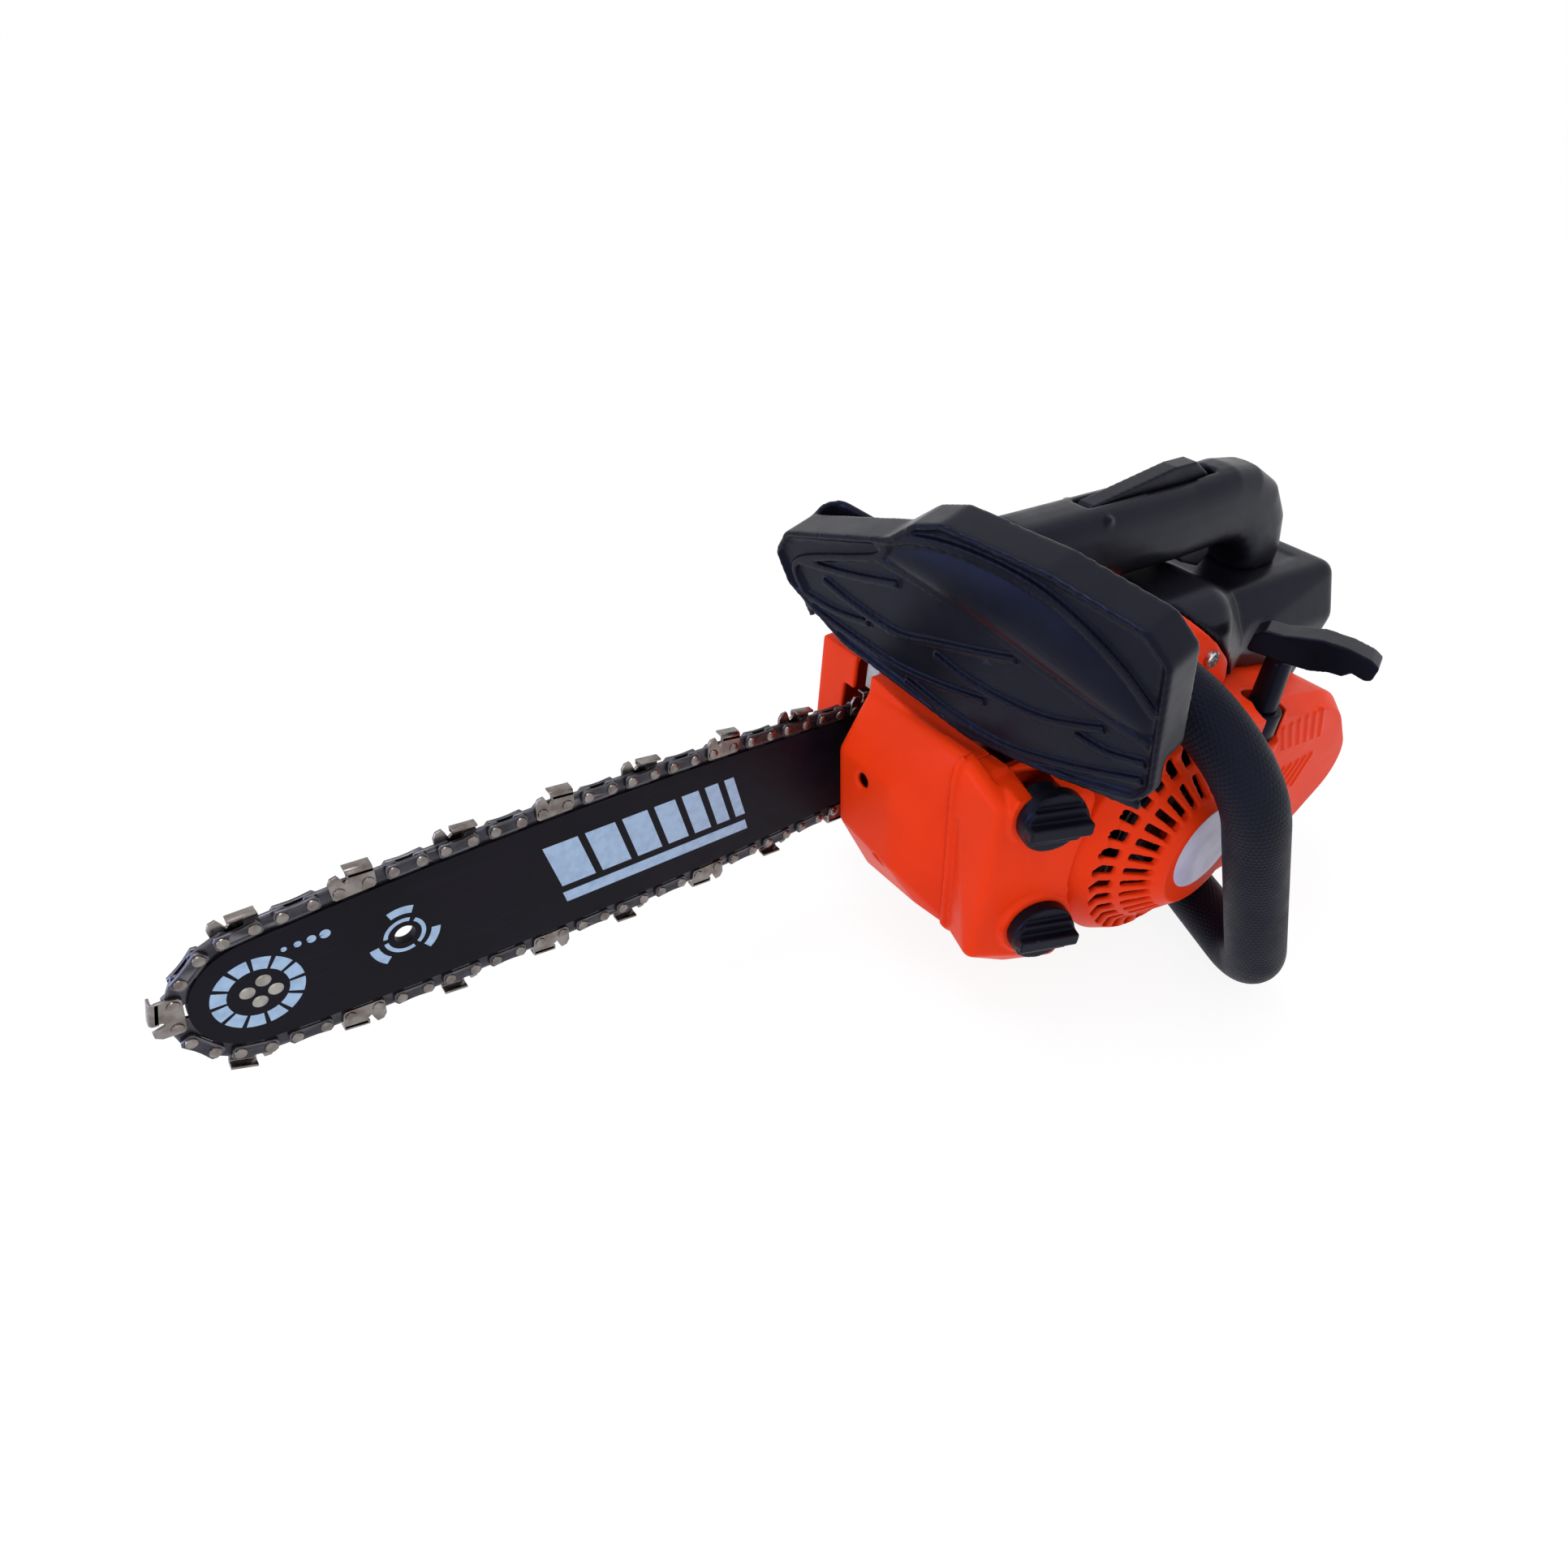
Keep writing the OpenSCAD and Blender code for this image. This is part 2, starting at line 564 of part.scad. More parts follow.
// Turns on the pulley and the length that leads up to the guide
rope_seat = pulley_r - 6 + rope_r + 0.05;
module inner_rope() color("#E8E4D8") {
    translate([0, pulley_y + pulley_t / 2, crank_h]) rotate([90, 0, 0])
        rotate_extrude() translate([rope_seat, 0]) circle(r = rope_r, $fn = 16);
    translate([guide_x, guide_y, guide_top - 24]) cylinder(r = rope_r, h = 24.5, $fn = 16);
    hull() {
        translate([guide_x, guide_y, guide_top - 24]) sphere(r = rope_r, $fn = 16);
        translate([-12, pulley_y + pulley_t / 2, crank_h + rope_seat - 3.4])
            sphere(r = rope_r, $fn = 16);
    }
}
grip_z = guide_top + 3;
grip_turn = 22;                         // the bar's long end points to the rear by this angle
module starter_grip() color(black) difference() {
    union() {
        translate([guide_x, guide_y, grip_z]) cylinder(r1 = 6.5, r2 = 5.5, h = 30);
        // bar: a square short end, a waist over the stem and a wing that droops
        translate([guide_x, guide_y, grip_z]) rotate([0, 0, grip_turn])
            slab_x(-6.5, 6.5) offset(r = 1.5) offset(delta = -1.5)
                polygon([[-14, 27], [-13, 35], [-9, 38], [-2, 38], [5, 39.5], [13, 41], [24, 40.5],
                    [33, 38.5], [37, 36], [36, 29.5], [33, 29], [28, 30.5], [25, 28], [20, 28],
                    [12, 26], [3, 26], [-4, 26.5]]);
    }
    translate([guide_x, guide_y, grip_z - 1]) cylinder(r = 2.2, h = 20);
}

// ---------- clutch ----------
module clutch_shoes() color(steel) {
    difference() {
        union() {
            for (a = [0, 180]) translate([0, 0, crank_h]) rotate([0, a, 0])
                difference() {
                    translate([0, drum_y - 13, 0]) rotate([-90, 0, 0])
                        cylinder(r = drum_r - 2.8, h = 10);
                    translate([0, drum_y - 14, 0]) rotate([-90, 0, 0]) cylinder(r = 15, h = 12);
                    block([-40, drum_y - 20, -40], [40, drum_y, 2]);
                }
            block([-20, drum_y - 12, crank_h - 3], [20, drum_y - 4, crank_h + 3]);
            bar_along_y(12, drum_y - 13, drum_y - 3);
        }
        bar_along_y(shaft_r + 0.02, drum_y - 20, drum_y);
    }
}
module clutch_spring() color(steel) difference() {
    bar_along_y(17.5, drum_y - 15.3, drum_y - 13);
    bar_along_y(15.2, drum_y - 16, drum_y - 12);
}
tooth_a = 360 / 6;
// Angle of the drive link nearest the back of the drive sprocket
back_link = [for (i = [0:2:rivet_count - 1]) let (p = (rivet(i) + rivet(i + 1)) / 2)
    if (p[0] < -drive_r * 0.75) atan2(p[1], p[0])][0];
module clutch_drum() color(steel) difference() {
    union() {
        difference() {
            bar_along_y(drum_r, drum_y - drum_t, drum_y);
            bar_along_y(drum_r - 1.8, drum_y - drum_t - 1, drum_y - 2);
        }
        bar_along_y(9.8, drum_y - 1, -bar_y + 3.5);
        for (k = [0:5]) translate([0, 0, crank_h]) rotate([0, -back_link - (k + 0.5) * tooth_a, 0])
            slab_y(-bar_y - 3.5, -bar_y + 3.5)
                polygon([[8, -3.4], [8, 3.4], [13.4, 1.5], [13.4, -1.5]]);
    }
    bar_along_y(shaft_r + 2.5, -bar_y - 30, -bar_y + 10);
}
module drum_bearing() color(steel) difference() {
    bar_along_y(shaft_r + 2.45, drum_y - 2, -bar_y + 3.5);
    bar_along_y(shaft_r + run_fit, -bar_y - 30, -bar_y + 10);
}
module brake_band() color(steel) {
    difference() {
        bar_along_y(drum_r + 1.5, drum_y - 14, drum_y - 4);
        bar_along_y(drum_r + 0.4, drum_y - 20, drum_y);
        translate([0, 0, crank_h]) rotate([0, -40, 0])
            block([0, drum_y - 20, -6], [60, drum_y, 6]);
    }
}
module oil_pump() color(alloy) difference() {
    union() {
        bar_along_y(14, -boss_w - 6, -boss_w);
        block([8, -boss_w - 6, crank_h - 12], [28, -boss_w, crank_h + 2]);
    }
    bar_along_y(shaft_r + 1, -boss_w - 10, -boss_w + 5);
}
module cover_outline(t) {
    offset(delta = -t) union() {
        translate([0, crank_h]) circle(r = drum_r + 13, $fn = 96);
        polygon([[0, crank_h - 43], [60, crank_h - 34], [86, crank_h - 26], [86, crank_h + 52],
            [30, crank_h + 54], [0, crank_h + 43]]);
    }
}
module clutch_cover() color(orange) difference() {
    union() {
        difference() {
            union() {
                slab_y(cover_y + 7, cover_rim) cover_outline(0);
                hull() {
                    slab_y(cover_y, cover_y + 8) cover_outline(7);
                    slab_y(cover_y + 7, cover_y + 8) cover_outline(0);
                }
            }
            slab_y(cover_y + 7 + wall, cover_rim + 1) cover_outline(wall);
            slab_y(cover_y + wall, cover_rim + 1) cover_outline(7 + wall);
        }
        for (x = stud_x) bar_along_y(10, cover_y, -bar_y - bar_t / 2, x);
        bar_along_y(9, ear_y + 0.5, cover_rim - 8, brake_pivot[0], brake_pivot[1]);
        block([brake_pivot[0] - 9, ear_y + 0.5, brake_pivot[1] - 16],
            [brake_pivot[0] + 9, cover_rim - 8, brake_pivot[1]]);
        // seat of the brake band
        difference() {
            block([-6, drum_y - 13, crank_h + drum_r], [6, drum_y - 5, crank_h + drum_r + 12]);
            bar_along_y(drum_r + 1.5, drum_y - 20, drum_y);
        }
    }
    // way for the bar and the chain
    block([60, -bar_y - 9, crank_h - 38], [100, cover_rim + 5, crank_h + 36]);
    block([-80, -bar_y - 9, 20], [10, cover_rim + 5, crank_h + 20]);
    for (x = stud_x) {
        bar_along_y(stud_r + 0.3, cover_y - 1, -bar_y + 5, x);
        bar_along_y(8, cover_y - 1, cover_y + 7, x);
    }
    bar_along_y(stud_r + run_fit, cover_y, 0, brake_pivot[0], brake_pivot[1]);
    for (z = [0:9:18]) slab_y(cover_y - 1, cover_y + wall + 1)
        translate([-26, crank_h - 12 + z]) square([44, 4]);
}
module bar_studs() color(steel) for (x = stud_x)
    bar_along_y(stud_r - 0.02, cover_y + 1, pad_y + 6, x);
module bar_nuts() color(steel) for (x = stud_x) difference() {
    translate([x, cover_y, crank_h]) rotate([-90, 0, 0]) cylinder(r = 7.5, h = 7, $fn = 6);
    bar_along_y(stud_r, cover_y - 1, cover_y + 12, x);
}
tension_x = (stud_x[0] + stud_x[1]) / 2;
tension_z = crank_h - 10;
module chain_tensioner() color(steel) {
    bar_along_y(2.4, -bar_y - 1.5, pad_y, tension_x, tension_z);
}

// ---------- bar ----------
// Outline of the bar, inset from the rivet line
module bar_outline(inset) union() {
    intersection() {
        translate([bow_cx, crank_h - bow_cz]) circle(r = bow_r - inset, $fn = 720);
        translate([bow_cx, crank_h + bow_cz]) circle(r = bow_r - inset, $fn = 720);
        translate([34, 0])
            square([nose_x - 34 + nose_r * sin(nose_a(nose_x)), 2 * crank_h]);
    }
    translate([nose_x, crank_h]) circle(r = nose_r - inset, $fn = 96);
}
groove = 8;
hub_r = 9;
module guide_bar() color(black) difference() {
    union() {
        difference() {
            slab_y(-bar_y - bar_t / 2, -bar_y + bar_t / 2) bar_outline(strap_drop);
            slab_y(-bar_y - gauge / 2 - 0.1, -bar_y + gauge / 2 + 0.1) bar_outline(-5);
        }
        slab_y(-bar_y - gauge / 2 - 0.1, -bar_y + gauge / 2 + 0.1) difference() {
            bar_outline(strap_drop + groove);
            translate([nose_x, crank_h]) circle(r = nose_r - strap_drop - 0.5);
        }
        bar_along_y(hub_r, -bar_y - 1, -bar_y + 1, nose_x);
    }
    // stud slot, tensioner hole and hanging hole
    for (x = [stud_x[0] - 4, stud_x[1] + 4])
        bar_along_y(stud_r + 0.1, -bar_y - 5, -bar_y + 5, x);
    block([stud_x[0] - 4, -bar_y - 5, crank_h - stud_r - 0.1],
        [stud_x[1] + 4, -bar_y + 5, crank_h + stud_r + 0.1]);
    bar_along_y(2.45, -bar_y - 5, -bar_y + 5, tension_x, tension_z);
    bar_along_y(4, -bar_y - 5, -bar_y + 5, nose_x - 50);
}
nose_link = [for (i = [0:2:rivet_count - 1]) let (p = (rivet(i) + rivet(i + 1)) / 2)
    if (p[0] > nose_x + nose_r * 0.7) atan2(p[1], p[0] - nose_x)][0];
module nose_sprocket() color(steel) difference() {
    translate([nose_x, 0, crank_h]) rotate([0, -nose_link, 0])
        slab_y(-bar_y - gauge / 2, -bar_y + gauge / 2) difference() {
            circle(r = nose_r - strap_drop - 0.8);
            for (k = [0:8]) rotate(40 * k) translate([nose_r - 2, 0])
                circle(r = 0.348 * nose_r);
        }
    bar_along_y(hub_r + run_fit, -bar_y - 5, -bar_y + 5, nose_x);
}

// ---------- chain ----------
// Frame of the link from rivet i to rivet i + 1: x along the chain, y outwards
module on_link(i, y0, y1) {
    p = rivet(i);
    q = rivet((i + 1) % rivet_count);
    translate([(p[0] + q[0]) / 2, 0, crank_h + (p[1] + q[1]) / 2]) rotate([0, -turn(p, q), 0])
        slab_y(y0, y1) children();
}
function link_len(i) = norm(rivet((i + 1) % rivet_count) - rivet(i));
module rivet_holes(l) for (s = [-1, 1]) translate([s * l / 2, 0]) circle(r = hole_r, $fn = 24);
// Drive link with its tang, which points to the inside of the loop
module drive_link(l) difference() {
    polygon([[-l / 2 - 2.6, 1.5], [-l / 2 - 1.6, 2.8], [l / 2 + 1.6, 2.8], [l / 2 + 2.6, 1.5],
        [l / 2 + 2.4, -1.6], [3.3, -6.2], [1.6, -7.6], [-1.4, -7.6], [-3.3, -6.2],
        [-l / 2 - 2.4, -1.6]]);
    rivet_holes(l);
}
module tie_strap(l) difference() {
    polygon([[-l / 2 - 2.6, 1.6], [-l / 2 - 1.4, 2.9], [-1.6, 2.4], [1.6, 2.4], [l / 2 + 1.4, 2.9],
        [l / 2 + 2.6, 1.6], [l / 2 + 2.6, -1.8], [l / 2 + 1.6, -2.8], [-l / 2 - 1.6, -2.8],
        [-l / 2 - 2.6, -1.8]]);
    rivet_holes(l);
}
// Side plate of a cutter: depth gauge ahead (+x), gullet, then the working corner
module cutter_plate(l) difference() {
    polygon([[-l / 2 - 2.6, -1.8], [-l / 2 - 1.6, -2.8], [l / 2 + 1.6, -2.8], [l / 2 + 2.6, -1.8],
        [l / 2 + 2.8, 4.6], [l / 2 + 1.4, 7], [l / 2 - 1.2, 7.4], [l / 2 - 2, 3.6], [1.6, 3],
        [0.6, 5.6], [1.6, 8], [-l / 2 - 2.8, 7], [-l / 2 - 3, 3.2]]);
    rivet_holes(l);
}
module drive_links() color(steel) for (i = [0:2:rivet_count - 1])
    on_link(i, -bar_y - gauge / 2, -bar_y + gauge / 2) drive_link(link_len(i));
// Straps sit at odd i; every fourth carries a left cutter and the ones half way a right cutter
module tie_straps() color(steel) for (i = [1:2:rivet_count - 1]) {
    if (i % 8 != 7) on_link(i, -bar_y + plate_gap, -bar_y + strap_out) tie_strap(link_len(i));
    if (i % 8 != 3) on_link(i, -bar_y - strap_out, -bar_y - plate_gap) tie_strap(link_len(i));
}
module cutters(first, side) for (i = [first:8:rivet_count - 1]) {
    y0 = -bar_y + (side > 0 ? plate_gap : -strap_out);
    l = link_len(i);
    on_link(i, y0, y0 + strap_t) cutter_plate(l);
    // top plate, folded over the chain
    on_link(i, -bar_y - (side > 0 ? 1.6 : strap_out + 0.8),
        -bar_y + (side > 0 ? strap_out + 0.8 : 1.6))
        polygon([[1.6, 7], [1.6, 8], [-l / 2 - 2.8, 7], [-l / 2 - 2.8, 6]]);
}
module left_cutters() color(steel) cutters(7, 1);
module right_cutters() color(steel) cutters(3, -1);
module chain_rivets() color(steel) for (i = [0:rivet_count - 1]) {
    p = rivet(i);
    head = strap_out + 0.05;
    bar_along_y(rivet_r, -bar_y - head, -bar_y + head, p[0], crank_h + p[1], $fn = 24);
    for (s = [-1, 1]) translate([p[0], -bar_y + s * (head + 0.45), crank_h + p[1]])
        rotate([90, 0, 0]) cylinder(r = 2.25, h = 0.9, center = true, $fn = 24);
}

// ---------- tank ----------
pan_top = crank_h - 42;
// The tank's floor stays on the ground and its upper half rides up with the crank
function lifted(p) = p + [0, 0, p[2] > pan_top ? rise : 0];
module tank_form(t) {
    hull() {
        // front box
        for (p = [[100, -32, 99], [100, -2, 100], [100, -27, 66], [100, 4, 62], [88, 12, 42],
            [80, -28, 32], [88, -32, 121], [91, 16, 124], [79, seam_y, 34], [91, seam_y, 124],
            [58, -30, 14], [58, seam_y, 18], [56, -32, 119], [56, 24, 124]]) ball(lifted(p), 5 - t);
    }
    hull() {
        for (p = [[46, -30, 5], [44, seam_y - 8, 5], [-94, -28, 5], [-94, seam_y + 2, 5]])
            ball(p, 5 - t);
        for (p = [[56, -30, pan_top - 5], [52, seam_y + 2, pan_top - 5], [-98, -30, pan_top - 5],
            [-98, seam_y + 2, pan_top - 5]]) ball(p, 5 - t);
    }
    hull() {
        for (p = [[91, seam_y, 124], [79, seam_y, 34], [60, seam_y, 18], [90, 46, 114], [88, 46, 38],
            [66, 46, 24], [56, 58, 114], [56, 60, 34], [56, 46, 24], [56, seam_y, 118]])
            ball(lifted(p), 5 - t);
    }
}
// What the tank leaves free: muffler bay, crankcase and fan housing
module tank_bay(t) {
    block([-120, -60, pan_top - t], [48 + t, 30, 200]);
    block([30, -60, deck_h - 4 - t], [89 + t, 15 + t, 200]);
    block([30, 14 + t, deck_h - t], [89 + t, 34 + t, 200]);
    block([30, 14 + t, 122 + rise - t], [89 + t, 80, 200]);
    bar_along_y(fan_r + 0.3 + t, plate_y - 0.3 - t, 120);
    block([-120, plate_y - 0.3 - t, -10], [30, 120, 200]);
}
upper_cap = [76, 57.5, 114 + rise];
lower_cap = [68, 60.5, 53 + rise];
module along_cap(p) translate(p) rotate([0, 0, -20]) rotate([-90, 0, 0]) children();
module tank_solid() difference() {
    union() {
        tank_form(0);
        for (p = [upper_cap, lower_cap]) along_cap(p) translate([0, 0, -14])
            cylinder(r = cap_d / 2 + 2.5, h = 15);
    }
    tank_bay(0);
}
module tank_hollow() difference() {
    tank_form(wall);
    tank_bay(wall);
    for (p = [upper_cap, lower_cap]) along_cap(p) translate([0, 0, -14])
        cylinder(r = cap_d / 2 + 2.5, h = 15);
}
// Wall between the muffler and the guard, below the guard's sweep
module tank_wall() slab_x(muffler_high[0] + 4, 90) polygon([[-36, deck_h - 5], [-36, 132 + rise],
    [-4, 127 + rise], [10, 124.5 + rise], [36, 124.5 + rise], [36, deck_h - 5]]);
module tank_right() color(orange) difference() {
    union() {
        difference() {
            tank_solid();
            tank_hollow();
        }
        // flat base
        soft_block([-90, -26, 0], [40, 14, 2], 6);
        tank_wall();
    }
    block([-200, seam_y, -10], [200, 120, 200]);
    block([30, -60, -10], [200, -38, 200]);
    // moulded dimples
    bar_along_x(3.5, 102, 110, -18, 93 + rise);
    bar_along_x(3.5, 100, 110, -4, 58 + rise);
}
module tank_left() color(orange) difference() {
    union() {
        difference() {
            tank_solid();
            tank_hollow();
        }
        tank_wall();
    }
    block([-200, -60, -10], [200, seam_y, 200]);
    for (p = [upper_cap, lower_cap]) along_cap(p) translate([0, 0, -20]) cylinder(r = 10.1, h = 30);
}
module filler_cap() {
    cylinder(r = cap_d / 2, h = 5.5);
    translate([0, 0, -9.5]) cylinder(r = 10, h = 10);
    translate([0, 0, 5]) intersection() {
        cylinder(r = cap_d / 2 - 0.5, h = 7);
        union() {
            translate([-20, -3, 0]) cube([40, 6, 7]);
            translate([-20, -8, 0]) cube([40, 16, 3]);
        }
    }
}
module fuel_cap() color(black) along_cap(lower_cap) translate([0, 0, 1.02]) filler_cap();
module oil_cap() color(black) along_cap(upper_cap) translate([0, 0, 1.02]) filler_cap();

// ---------- handles ----------
// Stations of the top handle: x, z, tilt of its axis, half height
handle_path = [[70, 193, 180, 0.8], [62, 193, 180, 0.94], [10, 192, 180, 0.97], [-40, 191, 179, 1],
    [-70, 192, 179, 1.03], [-84, 190, 192, 1.03], [-96, 184, 214, 0.98], [-105, 174, 240, 0.94],
    [-109, 164, 262, 0.92], [-109.5, 157, 270, 0.92]];
function handle_ring(s, t) = let (a = s[2], dir = [cos(a), 0, sin(a)], v = cross(dir, [0, 1, 0]))
    ring([s[0], 0, s[1] + rise], [0, 1, 0], v, grip_w / 2 - t, grip_h / 2 * s[3] - t, 3.2);
module handle_form(t) loft([for (s = handle_path) handle_ring(s, t)]);
trigger_pin = [-42, 182 + rise];
lever_pin = [18, 205 + rise];
switch_low = [64, -11, 200 + rise];
switch_high = [71, -3, 209 + rise];
module top_handle() color(black) {
    difference() {
        handle_form(0);
        intersection() {
            handle_form(wall + 0.5);
            block([-128, -60, 60], [58, 60, 300]);
        }
        // slots of the trigger and the lockout lever
        block([-78, -5, trigger_pin[1] - 32], [-35, 5, trigger_pin[1] + 4]);
        block([-60, -4.5, lever_pin[1] - 9], [24, 4.5, lever_pin[1] + 25]);
        block(switch_low - [run_fit, run_fit, 3], switch_high + [run_fit, run_fit, 3]);
    }
    // journals of both levers
    bar_along_y(2, -grip_w / 2 + 1, grip_w / 2 - 1, trigger_pin[0], trigger_pin[1]);
    bar_along_y(2, -grip_w / 2 + 1, grip_w / 2 - 1, lever_pin[0], lever_pin[1]);
    // yoke over the front handle's tube and the leg on the tank
    difference() {
        union() {
            slab_y(clamp_y, 46) translate([top_run_x, top_run_z]) circle(r = 17);
            block([14, clamp_y, top_run_z], [66, 46, yoke_top]);
            block([20, grip_w / 2 - 3, yoke_top - 7], [66, clamp_y, yoke_top]);
            slab_y(15.5, 25)
                polygon([[38, deck_h], [68, deck_h], [66, yoke_top - 3], [38, yoke_top - 3]]);
        }
        bar_along_y(tube_d / 2, 20, 60, top_run_x, top_run_z);
        bar_along_y(stud_r + run_fit, 0, 60, brake_pivot[0], brake_pivot[1]);
    }
}
module throttle_trigger() color(black) difference() {
    union() {
        bar_along_y(5, -4.5, 4.5, trigger_pin[0], trigger_pin[1]);
        slab_y(-4.5, 4.5) translate(trigger_pin)
            polygon([[0, 4], [-28, 2], [-32, -14], [-26, -19], [-12, -14], [4, -3]]);
    }
    bar_along_y(2 + run_fit, -10, 10, trigger_pin[0], trigger_pin[1]);
}
module lockout_lever() color(black) difference() {
    union() {
        bar_along_y(4, -4, 4, lever_pin[0], lever_pin[1]);
        slab_y(-4, 4) translate(lever_pin)
            polygon([[0, 4], [-48, 11], [-62, 11], [-73, 4], [-74, -3], [0, -3]]);
    }
    bar_along_y(2 + run_fit, -10, 10, lever_pin[0], lever_pin[1]);
}
module stop_switch() color("#D8281C") block(switch_low, switch_high);

// Front handle: flat loop in a leaning plane, drawn with y across and v down from the top run
top_run_z = 162 + rise;
yoke_top = top_run_z + 19;
top_run_x = 27;
clamp_y = 29;                           // tube's upper end, in the yoke
bend_y = 46;                            // end of the upper run
foot_y = plate_y - 0.3;                 // tube's lower end, against the tank
foot_z = sleeve_d / 2 + 0.3;
foot_turn = 22;                         // the lower run also leads to the rear
flare = 5;                              // the side run leans out by this angle
bend_big = 60;
bend_small = 22;
// Part of d square to unit vector e, made a unit vector
function square_to(d, e) = let (v = d - e * (d * e)) v / norm(v);
// End of a bend of radius r that starts at p along e and turns to run along d
function bend_end(p, e, d, r) = let (n = square_to(d, e), c = e * d)
    p + r * n * (1 - c) + r * e * sqrt(1 - c * c);
module to_frame(x, y, z, p) multmatrix([[x[0], y[0], z[0], p[0]], [x[1], y[1], z[1], p[1]],
    [x[2], y[2], z[2], p[2]], [0, 0, 0, 1]]) children();
module straight(p, d, l, dia) let (x = square_to([0.3, 0.1, 1], d))
    to_frame(x, cross(d, x), d, p) cylinder(d = dia, h = l);
module bend(p, e, d, r, dia) let (n = square_to(d, e))
    to_frame(-n, e, cross(e, n), p + r * n)
        rotate_extrude(angle = acos(e * d)) translate([r, 0]) circle(d = dia, $fn = 32);
dir_top = [0, 1, 0];
dir_side = [-cos(flare) * sin(tube_lean), sin(flare), -cos(flare) * cos(tube_lean)];
dir_foot = [-sin(foot_turn), -cos(foot_turn), 0];
tube_p1 = [top_run_x, bend_y, top_run_z];
tube_p2 = bend_end(tube_p1, dir_top, dir_side, bend_big);
small_drop = bend_end([0, 0, 0], dir_side, dir_foot, bend_small)[2];
side_run = (foot_z - small_drop - tube_p2[2]) / dir_side[2];
tube_p3 = tube_p2 + side_run * dir_side;
tube_p4 = bend_end(tube_p3, dir_side, dir_foot, bend_small);
// The bends are drawn a hair thinner and the straight runs reach a little into them
lap = 0.3;
module handle_run(d) difference() {
    union() {
        straight([top_run_x, clamp_y, top_run_z], dir_top, bend_y - clamp_y + lap, d);
        bend(tube_p1, dir_top, dir_side, bend_big, d - 0.04);
        straight(tube_p2 - lap * dir_side, dir_side, side_run + 2 * lap, d);
        bend(tube_p3, dir_side, dir_foot, bend_small, d - 0.04);
        straight(tube_p4 - lap * dir_foot, dir_foot,
            (tube_p4[1] - foot_y) / cos(foot_turn) + d, d);
    }
    block([-200, -60, -20], [100, foot_y, 60]);
}
module front_handle() color(black) handle_run(tube_d);
module handle_sleeve() color(rubber) difference() {
    handle_run(sleeve_d);
    handle_run(tube_d + 0.04);
    block([-100, -60, 60], [100, 47, 300]);
    block([-200, -60, -20], [100, rim_y + 3, 60]);
}

// ---------- hand guard ----------
guard_pos = [87, 10, 126 + rise];
pocket_z = guard_pos[2] + 38;            // foot of the pocket at the guard's right end
module guard_outline(inset = 0) offset(delta = -inset) offset(r = 5) offset(delta = -5)
    polygon([[-95, 50], [-88, 62], [-32, 81], [-19, 92], [-6, 97], [38, 96], [77, 90], [87, 81],
        [89, 27], [84, 19], [54, 10], [33, 7], [6, 5], [-58, 18], [-89, 36]]);
module guard_plane() translate(guard_pos) rotate([0, 12.4, 7.8]) children();
module hand_guard() color(black) {
    guard_plane() {
        slab_x(-5, -2.5) guard_outline();
        slab_x(-18, 0) intersection() {
            difference() {
                guard_outline();
                guard_outline(wall);
            }
            polygon([[-100, 58], [-30, 68], [70, 68], [80, 40], [120, 30], [120, 130],
                [-100, 130]]);
        }
        slab_x(-7, 0) difference() {
            guard_outline();
            guard_outline(wall);
        }
    }
    // pocket at the right end
    intersection() {
        difference() {
            soft_block([82, ear_y - 3, pocket_z], [130, -30, pocket_z + 40], 9);
            soft_block([84.5, ear_y - 0.5, pocket_z - 1], [130, -27, pocket_z + 41], 6.5);
        }
        slab_y(ear_y - 4, -44) translate([82, pocket_z])
            polygon([[0, 0], [24, 0], [24, 18], [8, 30], [0, 32]]);
    }
    // ears and pins of the hinge
    slab_y(ear_y - 3.5, ear_y) guard_ear(102, guard_pos[2] + 52);
    slab_y(35.5, 39) guard_ear(88, guard_pos[2] + 44);
    bar_along_y(stud_r, ear_y - 1, cover_rim - 9, brake_pivot[0], brake_pivot[1]);
    bar_along_y(stud_r, 16, 36, brake_pivot[0], brake_pivot[1]);
}
module guard_ear(x, z) {
    translate(brake_pivot) circle(r = 8);
    polygon([[brake_pivot[0] - 4, brake_pivot[1] - 6], [brake_pivot[0] + 8, brake_pivot[1] - 6],
        [x - 3, z - 16], [x, z], [brake_pivot[0] - 4, brake_pivot[1] + 7]]);
}

// On the flat of the casing, each a step along X and Z from the crank
module housing_screws() color(steel) for (p = [[-54, 10], [-70, -20], [-100, -41]])
    difference() {
        bar_along_y(4, rim_y, rim_y + 2.5, p[0], crank_h + p[1]);
        slab_y(rim_y + 1.2, rim_y + 3) translate([p[0], crank_h + p[1]]) circle(r = 2, $fn = 6);
    }

crankcase_left();
crankcase_right();
main_bearings();
crankshaft();
crankpin();
connecting_rod();
piston();
piston_pin();
piston_rings();
cylinder_node();  // cylinder
spark_plug();
plug_cap();
muffler();
intake_manifold();
carburettor();
throttle_shaft();
choke_lever();
filter_base();
air_filter();
filter_cover();
cylinder_cover();
flywheel();
flywheel_nut();
ignition_coil();
starter_housing();
starter_pulley();
recoil_spring();
rope_guide();
inner_rope();
starter_rope();
starter_grip();
clutch_shoes();
clutch_spring();
clutch_drum();
drum_bearing();
brake_band();
oil_pump();
clutch_cover();
bar_studs();
bar_nuts();
chain_tensioner();
guide_bar();
nose_sprocket();
drive_links();
tie_straps();
left_cutters();
right_cutters();
chain_rivets();
tank_right();
tank_left();
fuel_cap();
oil_cap();
top_handle();
throttle_trigger();
lockout_lever();
stop_switch();
front_handle();
handle_sleeve();
hand_guard();
housing_screws();
